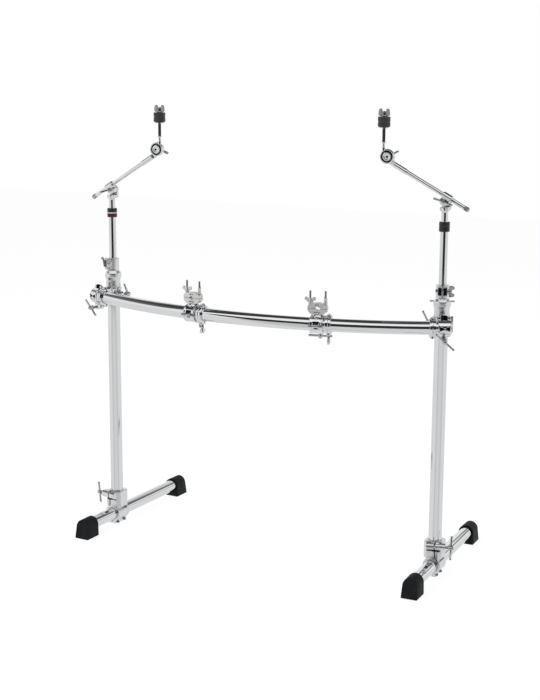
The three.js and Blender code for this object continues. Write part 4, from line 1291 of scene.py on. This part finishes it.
def mast_clamp_mesh():
    """Funnel on the upright: it widens to a shoulder, draws in to the mast and ends in a split collar."""
    size = MAST_CLAMP
    low, flare, shoulder, top = size["low"], size["flare"], size["shoulder"], size["top"]
    ears_low, ears_high = size["ears"]
    steps = [(i / 8, ease(i / 8)) for i in range(1, 9)]
    profile = [(0, low), (20.9, low), (21.65, low + 0.8), (21.65, flare)]
    profile += [(21.65 + 3.35 * eased, flare + 11 * share) for share, eased in steps]
    profile.append((25, shoulder))
    profile += [(25 - 6.5 * eased, shoulder + 14 * share) for share, eased in steps]
    profile += [(18.5, top - 1), (17.8, top), (0, top)]
    ears = rounded([(-14, -27), (14, -27), (14, -9), (-14, -9)], 2.6)
    neck = rounded([(-11, -24.6), (11, -24.6), (11, -9), (-11, -9)], 3)
    solids = [
        lathe(profile, 96), prism(ears, 829, 853.5), prism(neck, size["collar"], top),
        lathe([(0, low), (22.6, low), (22.6, low + 4), (0, low + 4)], 72),
    ]
    cutters = [
        rod("z", TUBE["bore"], 740, 795.4, 0, 72),
        rod("z", MAST["radius"] + 0.4, 760, 900, 0, 48),
        block(-1.5, 1.5, -60, 0, size["collar"], 900),
        block(-12.8, -2.2, -60, -26.3, ears_low - 0.4, ears_high + 0.4),
        block(2.2, 12.8, -60, -26.3, ears_low - 0.4, ears_high + 0.4),
    ]
    return cast(solids, cutters, cell=0.9)


def add_mast_clamp(side, sign):
    aim = JOINTS[side + "_mast_screw_turn"]["axis"]
    angle = math.atan2(sign * aim[1], sign * aim[0])
    place = upright_place(side) @ spun(angle) @ mirror(sign)
    clamp = side + "_mast_clamp"
    ears, height = MAST_CLAMP["ears"], MAST_CLAMP["nut"]
    piece(clamp + "_casting", mast_clamp_mesh(), place, "Soft chrome", "uprights", [clamp + "_body"])
    add_recess(clamp + "_panels", place, "uprights", block(-12.4, -2.4, -26.9, -26, *ears),
               block(2.4, 12.4, -26.9, -26, *ears), block(13.2, 13.95, -25.4, -13, *ears))
    pins = lathe(mirrored([(0, -35), (2.2, -34.6), (3, -33.4), (3, -31), (2.5, -29.6)]), 24, "x")
    pins = mesh_of(pins.at(0, 0, MAST_CLAMP["pins"]))
    piece(clamp + "_pins", pins, place, "Tube chrome", "uprights", sharp=40)
    square = [(-27, height - 7), (-13, height - 7), (-13, height + 7), (-27, height + 7)]
    nut = plank(rounded(square, 1.2), -18.6, -13.8)
    cup = lathe([(3.9, -20), (5.4, -20), (6.2, -19.4), (6.4, -18), (3.9, -18)], 36, "x").at(0, -20, height)
    stud = lathe([(0, -20.4), (1.8, -20.2), (3, -19.6), (3.2, -18), (0, -18)], 28, "x").at(0, -20, height)
    piece(clamp + "_nut", mesh_of(nut, cup, stud), place, "Tube chrome", "uprights", sharp=35)
    # Painted shade: a dark ring in the gap between the nut's cup and its stud.
    gap = pipe("x", 4.2, 2.9, -18.9, -18.2, 0.05, 28).at(0, -20, height)
    add_recess(clamp + "_nut_gap", place, "uprights", gap)
    for word, reach, z in (("low", 22, 780), ("high", 25.2, 801)):
        spot = place @ spun(math.radians(18)) @ off(0, -reach, z) @ TO_FRONT
        add_socket_screw(f"{clamp}_grub_{word}", spot, "uprights", 2.6, 4)
    add_screw(side, "mast_screw", clamp + "_wing_screw", angle)


# Booms

def tilter_base_mesh():
    """Neck on the mast with the fixed half of the ratchet."""
    front, back = 9.15, 17.85
    neck = lathe([
        (0, -97.6), (9.525, -97.6), (9.525, -30), (10.4, -29), (10.8, -27.5), (10.8, -20), (9.5, -16),
        (0, -14),
    ], 64)
    plate = [(-13, -24), (-10, -27), (10, -27), (13, -24), (13, 0)]
    plate = slab(plate + arc(0, 0, 13, 0, 180, 24)[1:-1] + [(-13, 0)], front, back)
    seat = block(-12, 12, -10, back - 1, -27, -17)
    disc = rod("y", 14, front, back, 1.2, 64)
    dome = lathe([(0, back), (9.5, back), (9, back + 0.6), (0, back + 0.8)], 48, "y")
    cutters = [lathe([(11.8, back - 0.9), (12.6, back - 0.9), (12.6, back + 3), (11.8, back + 3)], 48, "y")]
    return cast([neck, plate, seat, disc, dome], cutters, cell=0.7)


def tilter_head_mesh():
    """Turning half of the ratchet with the split eye that grips the boom rod."""
    plane = 8.85
    disc = rod("y", 14, -9.5, plane, 0.6, 64)
    cheek = slab(rounded([(-12, -7), (12, -7), (12, 13), (-12, 13)], 3), -10.4, plane)
    eye = rod("x", 10.6, -14, 14, 1.4, 48).at(0, 0, BOOM["rise"])
    lip = lathe([(0, -10.4), (10.6, -10.4), (11.2, -9.8), (11.2, -8), (0, -8)], 48, "y")
    far = 60
    cutters = [
        rod("x", BOOM["radius"] + BOOM["play"], -far, far, 0, 40).at(0, 0, BOOM["rise"]),
        block(-far, far, -1, 1, BOOM["rise"], far),
        block(-far, far, plane, far, -far, far),
        block(-far, far, -far, -10.4, -far, far),
    ]
    return cast([disc, cheek, eye, lip], cutters, cell=0.6)


def boom_rod_mesh():
    """Boom rod along X, turned down at its tail for the knurling."""
    radius, tail, far = BOOM["radius"], BOOM["tail"], BOOM["far"]
    start = tail - BOOM["grip"] - 4.4
    profile = [
        (0, -far), (radius - 0.4, -far), (radius, -far + 0.4), (radius, start - 1), (radius - 0.3, start),
        (radius - 0.3, tail - 3), (radius - 0.6, tail - 2.6), (radius - 0.6, tail - 2.0),
        (radius - 0.3, tail - 1.6), (radius - 1.6, tail), (0, tail),
    ]
    return mesh_of(lathe(profile, 48, "x").at(0, 0, BOOM["rise"]))


def add_boom(side, sign):
    upright = shift(pivot(side + "_boom_tilt")) @ mirror(sign)
    boom = on_boom(side, sign, "_boom_tilt")
    fixed, turning, sliding = side + "_boom_base", side + "_boom_head", side + "_boom"
    rise, tail, grip = BOOM["rise"], BOOM["tail"], BOOM["grip"]
    piece(side + "_tilter_base", tilter_base_mesh(), upright, "Cast chrome", fixed,
          [side + "_boom_tilter_base"])
    piece(side + "_tilter_head", tilter_head_mesh(), boom, "Cast chrome", turning,
          [side + "_boom_tilter_head"])
    add_teeth(side + "_tilter_base_teeth", upright, fixed, 13.9, 9.7, 1.0)
    add_teeth(side + "_tilter_head_teeth", boom, turning, 13.9, 8.3, 1.0)
    piece(side + "_boom_rod_chrome", boom_rod_mesh(), boom, "Tube chrome", sliding,
          [side + "_boom_rod"], sharp=40)
    knurl = repeat(
        ridge_ring_tree, count=BOOM["knurl"], radius=BOOM["radius"] - 0.25, ridge_size=(0.5, 0.34, grip),
        lift=tail - 3.4 - grip / 2,
    )
    knurl.transform(shift((0, 0, rise)) @ ALONG["x"])
    piece(side + "_boom_rod_knurling", knurl, boom, "Screw steel", sliding, sharp=30)
    tip = lathe([(0, 0), (4.6, 0), (4.4, 0.9), (3.4, 1.5), (0, 1.7)], 32, "x").at(tail - 1.75, 0, rise)
    add_recess(side + "_boom_rod_tip", boom, sliding, tip)
    add_screw(side, "boom_screw", side + "_boom_tilter_wing_screw")


def cymbal_base_mesh():
    """Sleeve on the boom rod with the fixed half of the ratchet beside it."""
    sleeve = lathe([
        (0, 27), (6.9, 27), (8, 28), (8, 66), (7.7, 69), (7.1, 72.2), (6.6, 73), (0, 73),
    ], 56, "x").at(0, 0, CYMBAL["boom_z"])
    disc = rod("y", 19, 0.15, 9, 1.4, 72)
    link = slab(rounded([(3, -17), (30, -17), (30, -3), (3, -1)], 2.4), 0.15, 8)
    hub = lathe([(0, 7), (11, 7), (11, 9.4), (0, 9.4)], 48, "y")
    cutters = [
        rod("x", BOOM["radius"] + BOOM["play"], 28.4, 90, 0, 40).at(0, 0, CYMBAL["boom_z"]),
        lathe([(12.6, 8.2), (15.8, 8.2), (15.8, 12), (12.6, 12)], 56, "y"),
    ]
    return cast([sleeve, disc, link, hub], cutters, cell=0.65)


def cymbal_disc_mesh():
    """The ringed front disc of the cymbal tilter, turned about Y."""
    return mesh_of(lathe([
        (0, -0.15), (20.3, -0.15), (21, -0.8), (21, -7.6), (20.2, -8.8), (19.2, -9), (18.2, -8.9),
        (17.5, -8.2), (17.2, -6.9), (14.2, -6.6), (12.9, -6.8), (12.4, -8), (12.2, -9.8), (11.5, -10.8),
        (10.2, -11), (7.4, -10.9), (6.6, -10.3), (6.2, -9.6), (0, -9.5),
    ], 88, "y"))


def cymbal_column_mesh():
    """Collar, rod and seat washer that stand beside the disc."""
    top = CYMBAL["seat"] + CYMBAL["felts"] + CYMBAL["stub"]
    return mesh_of(lathe([
        (0, 14), (4.2, 14), (4.9, 14.8), (4.9, 24.2), (4.4, 25), (4, 25.4), (4, 36.4), (6.6, 36.9), (7, 37.5),
        (7, 39), (6.6, 39.7), (4, 39.9), (4, 77.8), (13.2, 77.8), (14, 78.5), (14, 80.2), (13.3, 81), (4, 81),
        (4, top - 1), (3.3, top), (0, top),
    ], 48).at(CYMBAL["rod_x"], CYMBAL["rod_y"], 0))


def felt_mesh():
    """Two thick pressed felts, a little uneven at the edge."""
    radius = 17.75
    form = lathe([
        (4.7, 0.2), (radius - 1.6, 0.0), (radius - 0.5, 0.5), (radius - 0.05, 1.7), (radius, 7),
        (radius - 0.1, 12), (radius - 0.6, 13.2), (radius - 1.7, 13.8), (radius - 2.2, 14.0),
        (radius - 1.7, 14.2), (radius - 0.6, 14.8), (radius - 0.1, 16), (radius, 21), (radius - 0.05, 26.3),
        (radius - 0.5, 27.5), (radius - 1.6, 28.0), (4.7, 27.8),
    ], 72)
    for point in form.points:
        if math.hypot(point.x, point.y) > 10:
            angle = math.atan2(point.y, point.x)
            wave = math.sin(angle * 5 + point.z * 0.6) + 0.6 * math.sin(angle * 11 - point.z * 0.9)
            share = 1 - 0.0035 * (1.6 + wave)
            point.x *= share
            point.y *= share
    return mesh_of(form)


def top_nut_mesh():
    """Wing nut that holds the felts down."""
    barrel = lathe([
        (0, 0), (8, 0), (8.3, 1), (8, 2.6), (6.9, 4), (6.2, 9), (5.6, 11.6), (4.8, 12.6), (0, 12.6),
    ], 40)
    ears = slab(wing_outline(17, 22, 7, 3.6), -2.5, 2.5)
    return cast([barrel, ears], [rod("z", 4.15, -10, 40, 0, 28)], cell=fine(), passes=6)


def add_cymbal_holder(side, sign):
    base = on_boom(side, sign, "_cymbal_tilt")
    head = shift(pivot(side + "_cymbal_tilt")) @ mirror(sign)
    fixed, turning = side + "_boom", side + "_cymbal_head"
    tilter = side + "_cymbal_tilter"
    piece(tilter + "_sleeve", cymbal_base_mesh(), base, "Cast chrome", fixed, [tilter + "_base"])
    add_teeth(tilter + "_base_teeth", base, fixed, 18.9, 0.75, 0.9)
    piece(tilter + "_disc", cymbal_disc_mesh(), head, "Tube chrome", turning, [tilter + "_head"], sharp=40)
    # Painted shade: a dark ring in the disc's groove and a dark spot near its middle, standing in for dark
    # reflections.
    groove = lathe([(13.4, -7.2), (17.4, -7.2), (17.4, -6.5), (13.4, -6.5)], 72, "y")
    dark_spot = lathe([(0, -9.9), (3.4, -9.9), (3.4, -9.4), (0, -9.4)], 28, "y").at(1.2, 0, -0.8)
    add_recess(tilter + "_groove", head, turning, groove, dark_spot)
    add_teeth(tilter + "_head_teeth", head, turning, 20.9, -0.7, 0.9)
    piece(side + "_cymbal_rod", cymbal_column_mesh(), head, "Tube chrome", turning, sharp=40)
    crown = head @ off(CYMBAL["rod_x"], CYMBAL["rod_y"], 0)
    add_thread(side + "_cymbal_rod_thread", crown, turning, 4.05, 96, 124)
    sleeve = mesh_of(lathe([(4.02, 40.1), (4.3, 40.1), (4.4, 40.5), (4.4, 77.2), (4.02, 77.2)], 36))
    piece(side + "_cymbal_rod_sleeve", sleeve, crown, "Black plastic", turning, sharp=40)
    stack = crown @ off(0, 0, CYMBAL["seat"])
    piece(side + "_cymbal_felt_pair", felt_mesh(), stack, "Black felt", turning,
          [side + "_cymbal_felts"])
    nut = crown @ off(0, 0, CYMBAL["seat"] + CYMBAL["nut"])
    piece(side + "_cymbal_nut_wings", top_nut_mesh(), nut, "Wing chrome painted darker", side + "_cymbal_nut",
          [side + "_cymbal_wing_nut"])
    grub = base @ off(46, -7.7, CYMBAL["boom_z"]) @ TO_FRONT
    add_socket_screw(tilter + "_grub", grub, fixed, 2.4, 3)
    add_screw(side, "cymbal_screw", tilter + "_wing_screw")


# Bar clamps

def clamp_beads():
    """Beads round both ends of a bar clamp."""
    half = CLAMP["width"] / 2
    return [rod("x", CLAMP["radius"] + 0.9, low, low + 4, 0, 64) for low in (-half, half - 4)]


def clamp_body_mesh():
    """Upper half of the wrap on the bar, with the jaws' pedestal and the neck to the lock."""
    radius, width, top = CLAMP["radius"], CLAMP["width"], CLAMP["pedestal"]
    solids = [
        fixed_half(width, *CORNER["bar_lug"], radius).moved(UNDER_BAR),
        lathe([(0, 15), (17, 15), (16, 24), (14, 27), (13, 28), (12.6, top), (0, top)], 56),
        block(0, CLAMP["lock_place"], -8, 8, TUBE["bore"], radius),
        *clamp_beads(),
    ]
    half = (width + 5) / 2
    cutters = [
        bore("x", 0.5, 60), block(-half, half, -80, 80, -60, 1.5), block(-8.6, 8.6, -60, -23.6, 6.0, 12.4),
    ]
    return cast(solids, cutters, cell=0.85)


def clamp_strap_mesh():
    """Lower half of the wrap on the bar."""
    strap = strap_half(CLAMP["width"], *CORNER["bar_lug"], CLAMP["radius"]).moved(UNDER_BAR)
    cutters = [
        bore("x", 0.5, 60), block(-60, 60, -80, 80, -1.5, 60), block(-6.4, 6.4, -60, -23.4, -9.6, -6.0),
    ]
    return cast([strap, *clamp_beads()], cutters, cell=0.85)


def jaw_mesh(upper):
    """One of two jaws with a V notch between them; the pair stands on z = 0."""
    half = JAW["height"] / 2
    if upper:
        outline = [(-28, 0.3), (-9, 0.3), (-5, 2.6), (0, 6.2), (5, 2.6), (9, 0.3), (28, 0.3), (28, 5.6)]
        outline += [(26.5, 9.2), (22.5, 12.2), (16, 14.6), (8, 16.1), (0, 16.5), (-8, 16.1), (-16, 14.6)]
        outline += [(-22.5, 12.2), (-26.5, 9.2), (-28, 5.6)]
    else:
        outline = [(-28, -0.3), (-28, -5), (-25, -10), (-20, -14.6), (-15, -16.5), (15, -16.5), (20, -14.6)]
        outline += [(25, -10), (28, -5), (28, -0.3), (9, -0.3), (5, -2.6), (0, -6.2), (-5, -2.6), (-9, -0.3)]
    deep = JAW["depth"] / 2
    solids = [slab(outline, -deep, deep)]
    rise = 1 if upper else -1
    for end in (-1, 1):
        pad = (half - 5.4) * rise if upper else -10
        low, high = sorted((0.5 * rise, pad))
        solids.append(rod("z", 6.6, low, high, 0, 32).at(end * JAW["posts"], 0, 0))
    width, low, high = (6, 8.6, 12.8) if upper else (9, -13, -9)
    mesh = cast(solids, [block(-width, width, -30, -deep + 1.2, low, high)], cell=0.7)
    mesh.transform(shift((0, 0, half)))
    return mesh


def add_clamp_lock(body, place):
    """The memory lock beside a bar clamp, with the blade hanging under it."""
    piece(body + "_lock_ring", lock_ring(CLAMP["lock_width"], CLAMP["radius"]), place, "Cast chrome", body)
    add_lock_screws(body + "_lock_screw", place, body, CLAMP["radius"] - 0.3)
    low = -CLAMP["radius"] - 5
    stalk = mesh_of(rod("z", 3.3, low - 24, low + 4, 0.6, 24))
    piece(body + "_lock_stalk", stalk, place, "Screw steel", body, sharp=40)
    add_thread(body + "_lock_stalk_thread", place, body, 3.6, low - 10, low + 1)
    blade = plank(rounded([
        (-12, low - 24), (12, low - 24), (12, low - 13), (4, low - 10), (-4, low - 10), (-12, low - 13),
    ], 3), -2, 2)
    barrel = lathe([
        (0, low - 22), (4.6, low - 22), (5.4, low - 20), (5.2, low - 9), (4, low - 7), (0, low - 7),
    ], 32)
    piece(body + "_lock_blade", cast([blade, barrel], cell=fine(), passes=6), place, "Cast chrome", body)


def add_jaws(side, place):
    """Two jaws over the saddle, with their posts and wing nuts."""
    jaws = side + "_jaws"
    piece(jaws + "_lower_plate", jaw_mesh(False), place, "Satin jaw metal", jaws, [side + "_jaw_lower"])
    piece(jaws + "_upper_plate", jaw_mesh(True), place, "Satin jaw metal", jaws, [side + "_jaw_upper"])
    nut = ball_wing_nut()
    for word, end, turn in (("left", -1, 0), ("right", 1, -65)):
        post = place @ off(end * JAW["posts"], 0, 0)
        core = mesh_of(rod("z", 2.4, 6, JAW["post_top"], 0.5, 20))
        piece(f"{jaws}_post_{word}", core, post, "Screw steel", jaws, sharp=40)
        add_thread(f"{jaws}_post_thread_{word}", post, jaws, JAW["post"], 30, JAW["post_top"] - 0.6)
        top = post @ off(0, 0, JAW_NUT["low"]) @ spun(math.radians(turn))
        piece(f"{jaws}_nut_{word}", nut, top, "Satin jaw metal", jaws)


def add_bar_clamp(side):
    body = side + "_bar_clamp"
    angle = bar_angle(side)
    place = on_bar(angle)
    piece(body + "_saddle", clamp_body_mesh(), place, "Cast chrome", body, [body + "_body"])
    piece(body + "_strap_casting", clamp_strap_mesh(), place, "Cast chrome", body, [body + "_strap"])
    # Painted shade: dark plates inside the windows of the saddle and the strap.
    add_recess(body + "_windows", place, body, block(-8.3, 8.3, -24.6, -23.4, 6.3, 12.1),
               block(-6.1, 6.1, -24.4, -23.2, -9.4, -6.2))
    pin = mesh_of(hinge_pin(CLAMP["width"], CLAMP["radius"]).moved(UNDER_BAR))
    piece(body + "_hinge_pin", pin, place, "Screw steel", body, sharp=40)
    add_clamp_lock(body, on_bar(angle + CLAMP["lock_place"] / RACK["bar_radius"]))
    add_screw(side, "clamp_handle", body + "_handle", angle)
    add_jaws(side, place @ off(0, 0, CLAMP["pedestal"] + 0.3))


# Studio

def ray_kinds(shader):
    """One for rays seen by the camera, straight or through glass, and one for reflected rays."""
    path = shader.node("ShaderNodeLightPath").outputs
    seen = Value(shader, path["Is Camera Ray"]) + Value(shader, path["Is Transmission Ray"])
    return seen, Value(shader, path["Is Glossy Ray"])


def make_floor(shader, studio):
    """Pale floor that keeps the shadow and is otherwise as bright as the background."""
    grain = shader.noise(shader.coords(), 3.0, 3.0)
    base = shader.shades(grain, studio.floor_colour, 0.99, 1.0)
    plain = shader.node("ShaderNodeBsdfDiffuse", None, {"Color": base})
    glow = shader.node("ShaderNodeEmission", None, {"Color": (1, 1, 1, 1), "Strength": studio.floor_glow})
    seen = ray_kinds(shader)[0]
    shader.output_from(shader.node("ShaderNodeMixShader", None, {
        0: seen * 0.85, 1: plain.outputs[0], 2: glow.outputs[0],
    }))


def make_world(shader, studio):
    """White where it is seen, soft grey light on the object, and softboxes and flags in its reflections."""
    aim = (Vector(studio.camera_place) - Vector(studio.camera_target)).to_2d().normalized()
    ray = shader.node("ShaderNodeTexCoord").outputs["Generated"]
    parts = shader.node("ShaderNodeSeparateXYZ", None, {"Vector": ray}).outputs
    x, y, z = (Value(shader, parts[i]) for i in range(3))
    flat = (x * x + y * y + 0.0001) ** 0.5
    front = (x * aim.x + y * aim.y) / flat
    # What the chrome reflects: a pale room, a little darker below the horizon
    level = shader.ramp(-0.03, 0.03, z, 0.76, 0.86)
    # Duller floor to both sides of the camera
    band = shader.ramp(0.55, 0.75, front) * shader.ramp(0.8, 0.95, front, 1.0, 0.35)
    level = level * (1 - band * shader.ramp(-0.05, 0.02, z, 0.22, 0.0))
    # Softbox high up on the camera's side
    softbox = shader.ramp(0.1, 0.3, front) * shader.ramp(0.5, 0.58, z)
    level = level + softbox * 0.1
    # Slanted dark strip behind the rack
    offset = z + x * 0.394 - 0.425
    strip = shader.ramp(-0.05, -0.02, offset) * shader.ramp(0.02, 0.05, offset, 1.0, 0.0)
    level = level * (1 - strip * shader.ramp(0.55, 0.65, y) * 0.75)
    # Black card under the horizon, round the camera
    card = shader.ramp(-0.19, -0.165, z) * shader.ramp(0.0, 0.03, z, 1.0, 0.0)
    level = level * (1 - card * shader.ramp(0.84, 0.88, front) * 0.98)
    # Black flag above it, wider towards its top
    edge = front + shader.ramp(0.12, 0.4, z) * 0.22
    flag = shader.ramp(-0.02, 0.04, z) * shader.ramp(0.5, 0.58, z, 1.0, 0.0) * shader.ramp(0.58, 0.68, edge)
    level = level * (1 - flag * 0.97)
    # Dark roof, lowest at the sides
    rim = 0.4 + shader.ramp(0.1, 0.28, front) * 0.53 + shader.ramp(-0.85, -0.5, front, 1.0, 0.0) * 0.22
    roof = shader.ramp(-0.05, 0.05, z - rim) * shader.ramp(0.4, 0.8, z, 0.78, 0.95)
    level = level * (1 - roof)
    seen, glossy = ray_kinds(shader)
    strength = seen + glossy * level + (1 - seen) * (1 - glossy) * studio.sky_level
    light = {"Color": (1, 1, 1, 1), "Strength": strength}
    shader.output_from(shader.node("ShaderNodeBackground", None, light))


def aimed(name, data, place, target, roll=0.0):
    """A lamp or camera at a place, looking at a target."""
    thing = linked(name, data)
    thing.location = place
    thing.rotation_mode = "QUATERNION"
    aim = (Vector(target) - Vector(place)).to_track_quat("-Z", "Y")
    thing.rotation_quaternion = aim @ spun(roll).to_quaternion()
    return thing


def add_lamp(name, place, target, size, energy):
    lamp = bpy.data.lights.new(name, "AREA")
    lamp.shape = "RECTANGLE"
    lamp.size, lamp.size_y = size
    lamp.energy = energy
    aimed(name, lamp, place, target).visible_glossy = False


def add_stage():
    studio = bpy.context.scene.rack_studio
    half = 8.0
    floor = bpy.data.meshes.new("floor")
    corners = [(-half, -half, 0), (half, -half, 0), (half, half, 0), (-half, half, 0)]
    floor.from_pydata(corners, [], [(0, 1, 2, 3)])
    floor.transform(off(0, 0, -0.4))
    finish = bpy.data.materials.new("Pale floor")
    make_floor(Shader(finish, "ShaderNodeOutputMaterial"), studio)
    floor.materials.append(finish)
    thing = linked("floor", floor)
    thing.visible_glossy = False
    world = bpy.data.worlds.new("Studio")
    bpy.context.scene.world = world
    make_world(Shader(world, "ShaderNodeOutputWorld"), studio)
    target = studio.camera_target
    add_lamp("key softbox", (-1.8, -3.4, 3.4), target, (2.6, 2.0), studio.key_power)
    add_lamp("fill softbox", (3.6, -1.2, 2.2), target, (1.8, 2.4), studio.fill_power)
    add_lamp("back softbox", (0.4, 3.6, 2.8), target, (3.0, 1.4), studio.fill_power)
    camera = bpy.data.cameras.new("camera")
    camera.lens = studio.lens
    camera.sensor_width = 36
    camera.shift_x = studio.shift_x
    bpy.context.scene.camera = aimed("camera", camera, studio.camera_place, target, studio.roll)
    bpy.context.scene.view_settings.view_transform = "Standard"


# Settings

def cell_setting(name, description, default, low):
    return FloatProperty(
        name=name, description=description, default=default, min=low, unit="LENGTH", precision=5,
    )


def colour_setting(name, description, *default):
    return FloatVectorProperty(
        name=name, description=description, subtype="COLOR", size=3, min=0, max=1, default=default,
    )


def place_setting(name, description, *default):
    return FloatVectorProperty(
        name=name, description=description, subtype="XYZ", unit="LENGTH", size=3, default=default,
    )


def number_setting(name, description, default, low=None, high=None):
    limits = {key: limit for key, limit in (("min", low), ("max", high)) if limit is not None}
    return FloatProperty(name=name, description=description, default=default, **limits)


class RackShapes(bpy.types.PropertyGroup):
    """How finely the castings and repeats are made."""

    casting_cell: cell_setting("Casting cell", "Grid size from which the castings are grown", 0.001, 0.0004)
    fine_cell: cell_setting("Fine cell", "Grid size of wing screws and nuts", 0.0005, 0.0002)
    softening: IntProperty(
        name="Softening", description="How often the castings' edges are relaxed", default=5, min=1, max=20,
    )
    ratchet_teeth: IntProperty(
        name="Ratchet teeth", description="Teeth round each tilter disc", default=60, min=12, max=120,
    )
    thread_pitch: cell_setting("Thread pitch", "Distance between the crests of a thread", 0.0013, 0.0005)


class RackFinishes(bpy.types.PropertyGroup):
    """Colours and polish."""

    chrome: colour_setting("Chrome", "Tint of the chrome plating", 0.86, 0.875, 0.885)
    polish: number_setting("Chrome haze", "Roughness of the plating", 0.045, 0.0, 1.0)
    satin: colour_setting("Jaw metal", "Grey of the jaws and their wing nuts", 0.8, 0.8, 0.79)
    steel: colour_setting("Screw steel", "Grey of the threads and pins", 0.36, 0.36, 0.37)
    rubber: colour_setting("Rubber", "Colour of the feet", 0.0095, 0.0105, 0.012)
    felt: colour_setting("Felt", "Colour of the cymbal felts", 0.011, 0.011, 0.012)
    plastic: colour_setting("Plastic", "Colour of bushings, sleeves and plugs", 0.012, 0.012, 0.014)
    stripe_ground: colour_setting("Bushing red", "Dark red of the left bushing", 0.05, 0.006, 0.008)
    stripe_line: colour_setting("Bushing line", "Pale line round the left bushing", 0.55, 0.53, 0.52)


class RackStudio(bpy.types.PropertyGroup):
    """Camera, lamps and floor."""

    camera_place: place_setting("Camera place", "Where the camera stands", 1.8431, -3.9679, 1.557)
    camera_target: place_setting("Camera target", "What the camera looks at", -0.0009, -0.0799, 0.6177)
    lens: number_setting("Lens", "Focal length in millimetres", 76.17, 10, 300)
    roll: FloatProperty(
        name="Roll", description="Turn of the camera about its view", default=math.radians(0.29),
        subtype="ANGLE",
    )
    shift_x: number_setting("Shift", "Sideways shift of the picture", 0.0015)
    key_power: number_setting("Key power", "Power of the main softbox", 70, 0)
    fill_power: number_setting("Fill power", "Power of the two other softboxes", 30, 0)
    sky_level: number_setting("Room light", "Even light from all round", 0.6, 0, 2)
    floor_glow: number_setting("Floor white", "How white the floor is where it is seen", 1.06, 0, 2)
    floor_colour: colour_setting("Floor", "Colour of the floor", 0.9, 0.9, 0.9)


# Operators

def each_side(build):
    """Builds both sides of the rack."""
    for side, sign in SIDES:
        build(side, sign)
    return {"FINISHED"}
class RACK_OT_tubes(bpy.types.Operator):
    """Build the curved bar, the uprights and the masts"""

    bl_idname = "rack.tubes"
    bl_label = "Tubes and bushings"

    def execute(self, context):
        add_tubes()
        return {"FINISHED"}


class RACK_OT_legs(bpy.types.Operator):
    """Build the leg tubes and their rubber feet"""

    bl_idname = "rack.legs"
    bl_label = "Legs and feet"

    def execute(self, context):
        return each_side(add_legs)


class RACK_OT_leg_clamps(bpy.types.Operator):
    """Build the clamps between uprights and legs, with their screws"""

    bl_idname = "rack.leg_clamps"
    bl_label = "Leg clamps"

    def execute(self, context):
        return each_side(add_leg_clamp)


class RACK_OT_corner_clamps(bpy.types.Operator):
    """Build the clamps between uprights and bar, with straps, screws and memory locks"""

    bl_idname = "rack.corner_clamps"
    bl_label = "Corner clamps"

    def execute(self, context):
        return each_side(add_corner)


class RACK_OT_mast_clamps(bpy.types.Operator):
    """Build the funnel clamps that hold the masts"""

    bl_idname = "rack.mast_clamps"
    bl_label = "Mast clamps"

    def execute(self, context):
        return each_side(add_mast_clamp)


class RACK_OT_booms(bpy.types.Operator):
    """Build the boom tilters and the boom rods"""

    bl_idname = "rack.booms"
    bl_label = "Booms"

    def execute(self, context):
        return each_side(add_boom)


class RACK_OT_cymbal_holders(bpy.types.Operator):
    """Build the cymbal tilters, felts and wing nuts"""

    bl_idname = "rack.cymbal_holders"
    bl_label = "Cymbal holders"

    def execute(self, context):
        return each_side(add_cymbal_holder)


class RACK_OT_bar_clamps(bpy.types.Operator):
    """Build the two clamps on the bar, with their jaws"""

    bl_idname = "rack.bar_clamps"
    bl_label = "Bar clamps"

    def execute(self, context):
        for side, _ in SIDES:
            add_bar_clamp(side)
        return {"FINISHED"}


class RACK_OT_stage(bpy.types.Operator):
    """Build the floor, the lamps, the room and the camera"""

    bl_idname = "rack.stage"
    bl_label = "Studio"

    def execute(self, context):
        add_stage()
        return {"FINISHED"}


class RACK_PT_panel(bpy.types.Panel):
    """The rack's sizes, colours and builders"""

    bl_idname = "RACK_PT_panel"
    bl_label = "Drum rack"
    bl_space_type = "VIEW_3D"
    bl_region_type = "UI"
    bl_category = "Drum rack"

    def draw(self, context):
        layout = self.layout
        scene = context.scene
        for settings in (scene.rack_shapes, scene.rack_finishes, scene.rack_studio):
            column = layout.column(align=True)
            for name in type(settings).__annotations__:
                column.prop(settings, name)
        column = layout.column(align=True)
        for operator in OPERATORS:
            column.operator(operator.bl_idname)


SETTINGS = {"rack_shapes": RackShapes, "rack_finishes": RackFinishes, "rack_studio": RackStudio}
OPERATORS = (
    RACK_OT_stage, RACK_OT_tubes, RACK_OT_legs, RACK_OT_leg_clamps, RACK_OT_corner_clamps,
    RACK_OT_mast_clamps, RACK_OT_booms, RACK_OT_cymbal_holders, RACK_OT_bar_clamps,
)


def register():
    for name, group in SETTINGS.items():
        bpy.utils.register_class(group)
        setattr(bpy.types.Scene, name, PointerProperty(type=group))
    for kind in OPERATORS + (RACK_PT_panel,):
        bpy.utils.register_class(kind)


def unregister():
    for kind in reversed(OPERATORS + (RACK_PT_panel,)):
        bpy.utils.unregister_class(kind)
    for name, group in reversed(SETTINGS.items()):
        delattr(bpy.types.Scene, name)
        bpy.utils.unregister_class(group)


def main():
    register()
    bpy.ops.rack.stage()
    bpy.ops.rack.tubes()
    bpy.ops.rack.legs()
    bpy.ops.rack.leg_clamps()
    bpy.ops.rack.corner_clamps()
    bpy.ops.rack.mast_clamps()
    bpy.ops.rack.booms()
    bpy.ops.rack.cymbal_holders()
    bpy.ops.rack.bar_clamps()


if __name__ == "__main__":
    main()
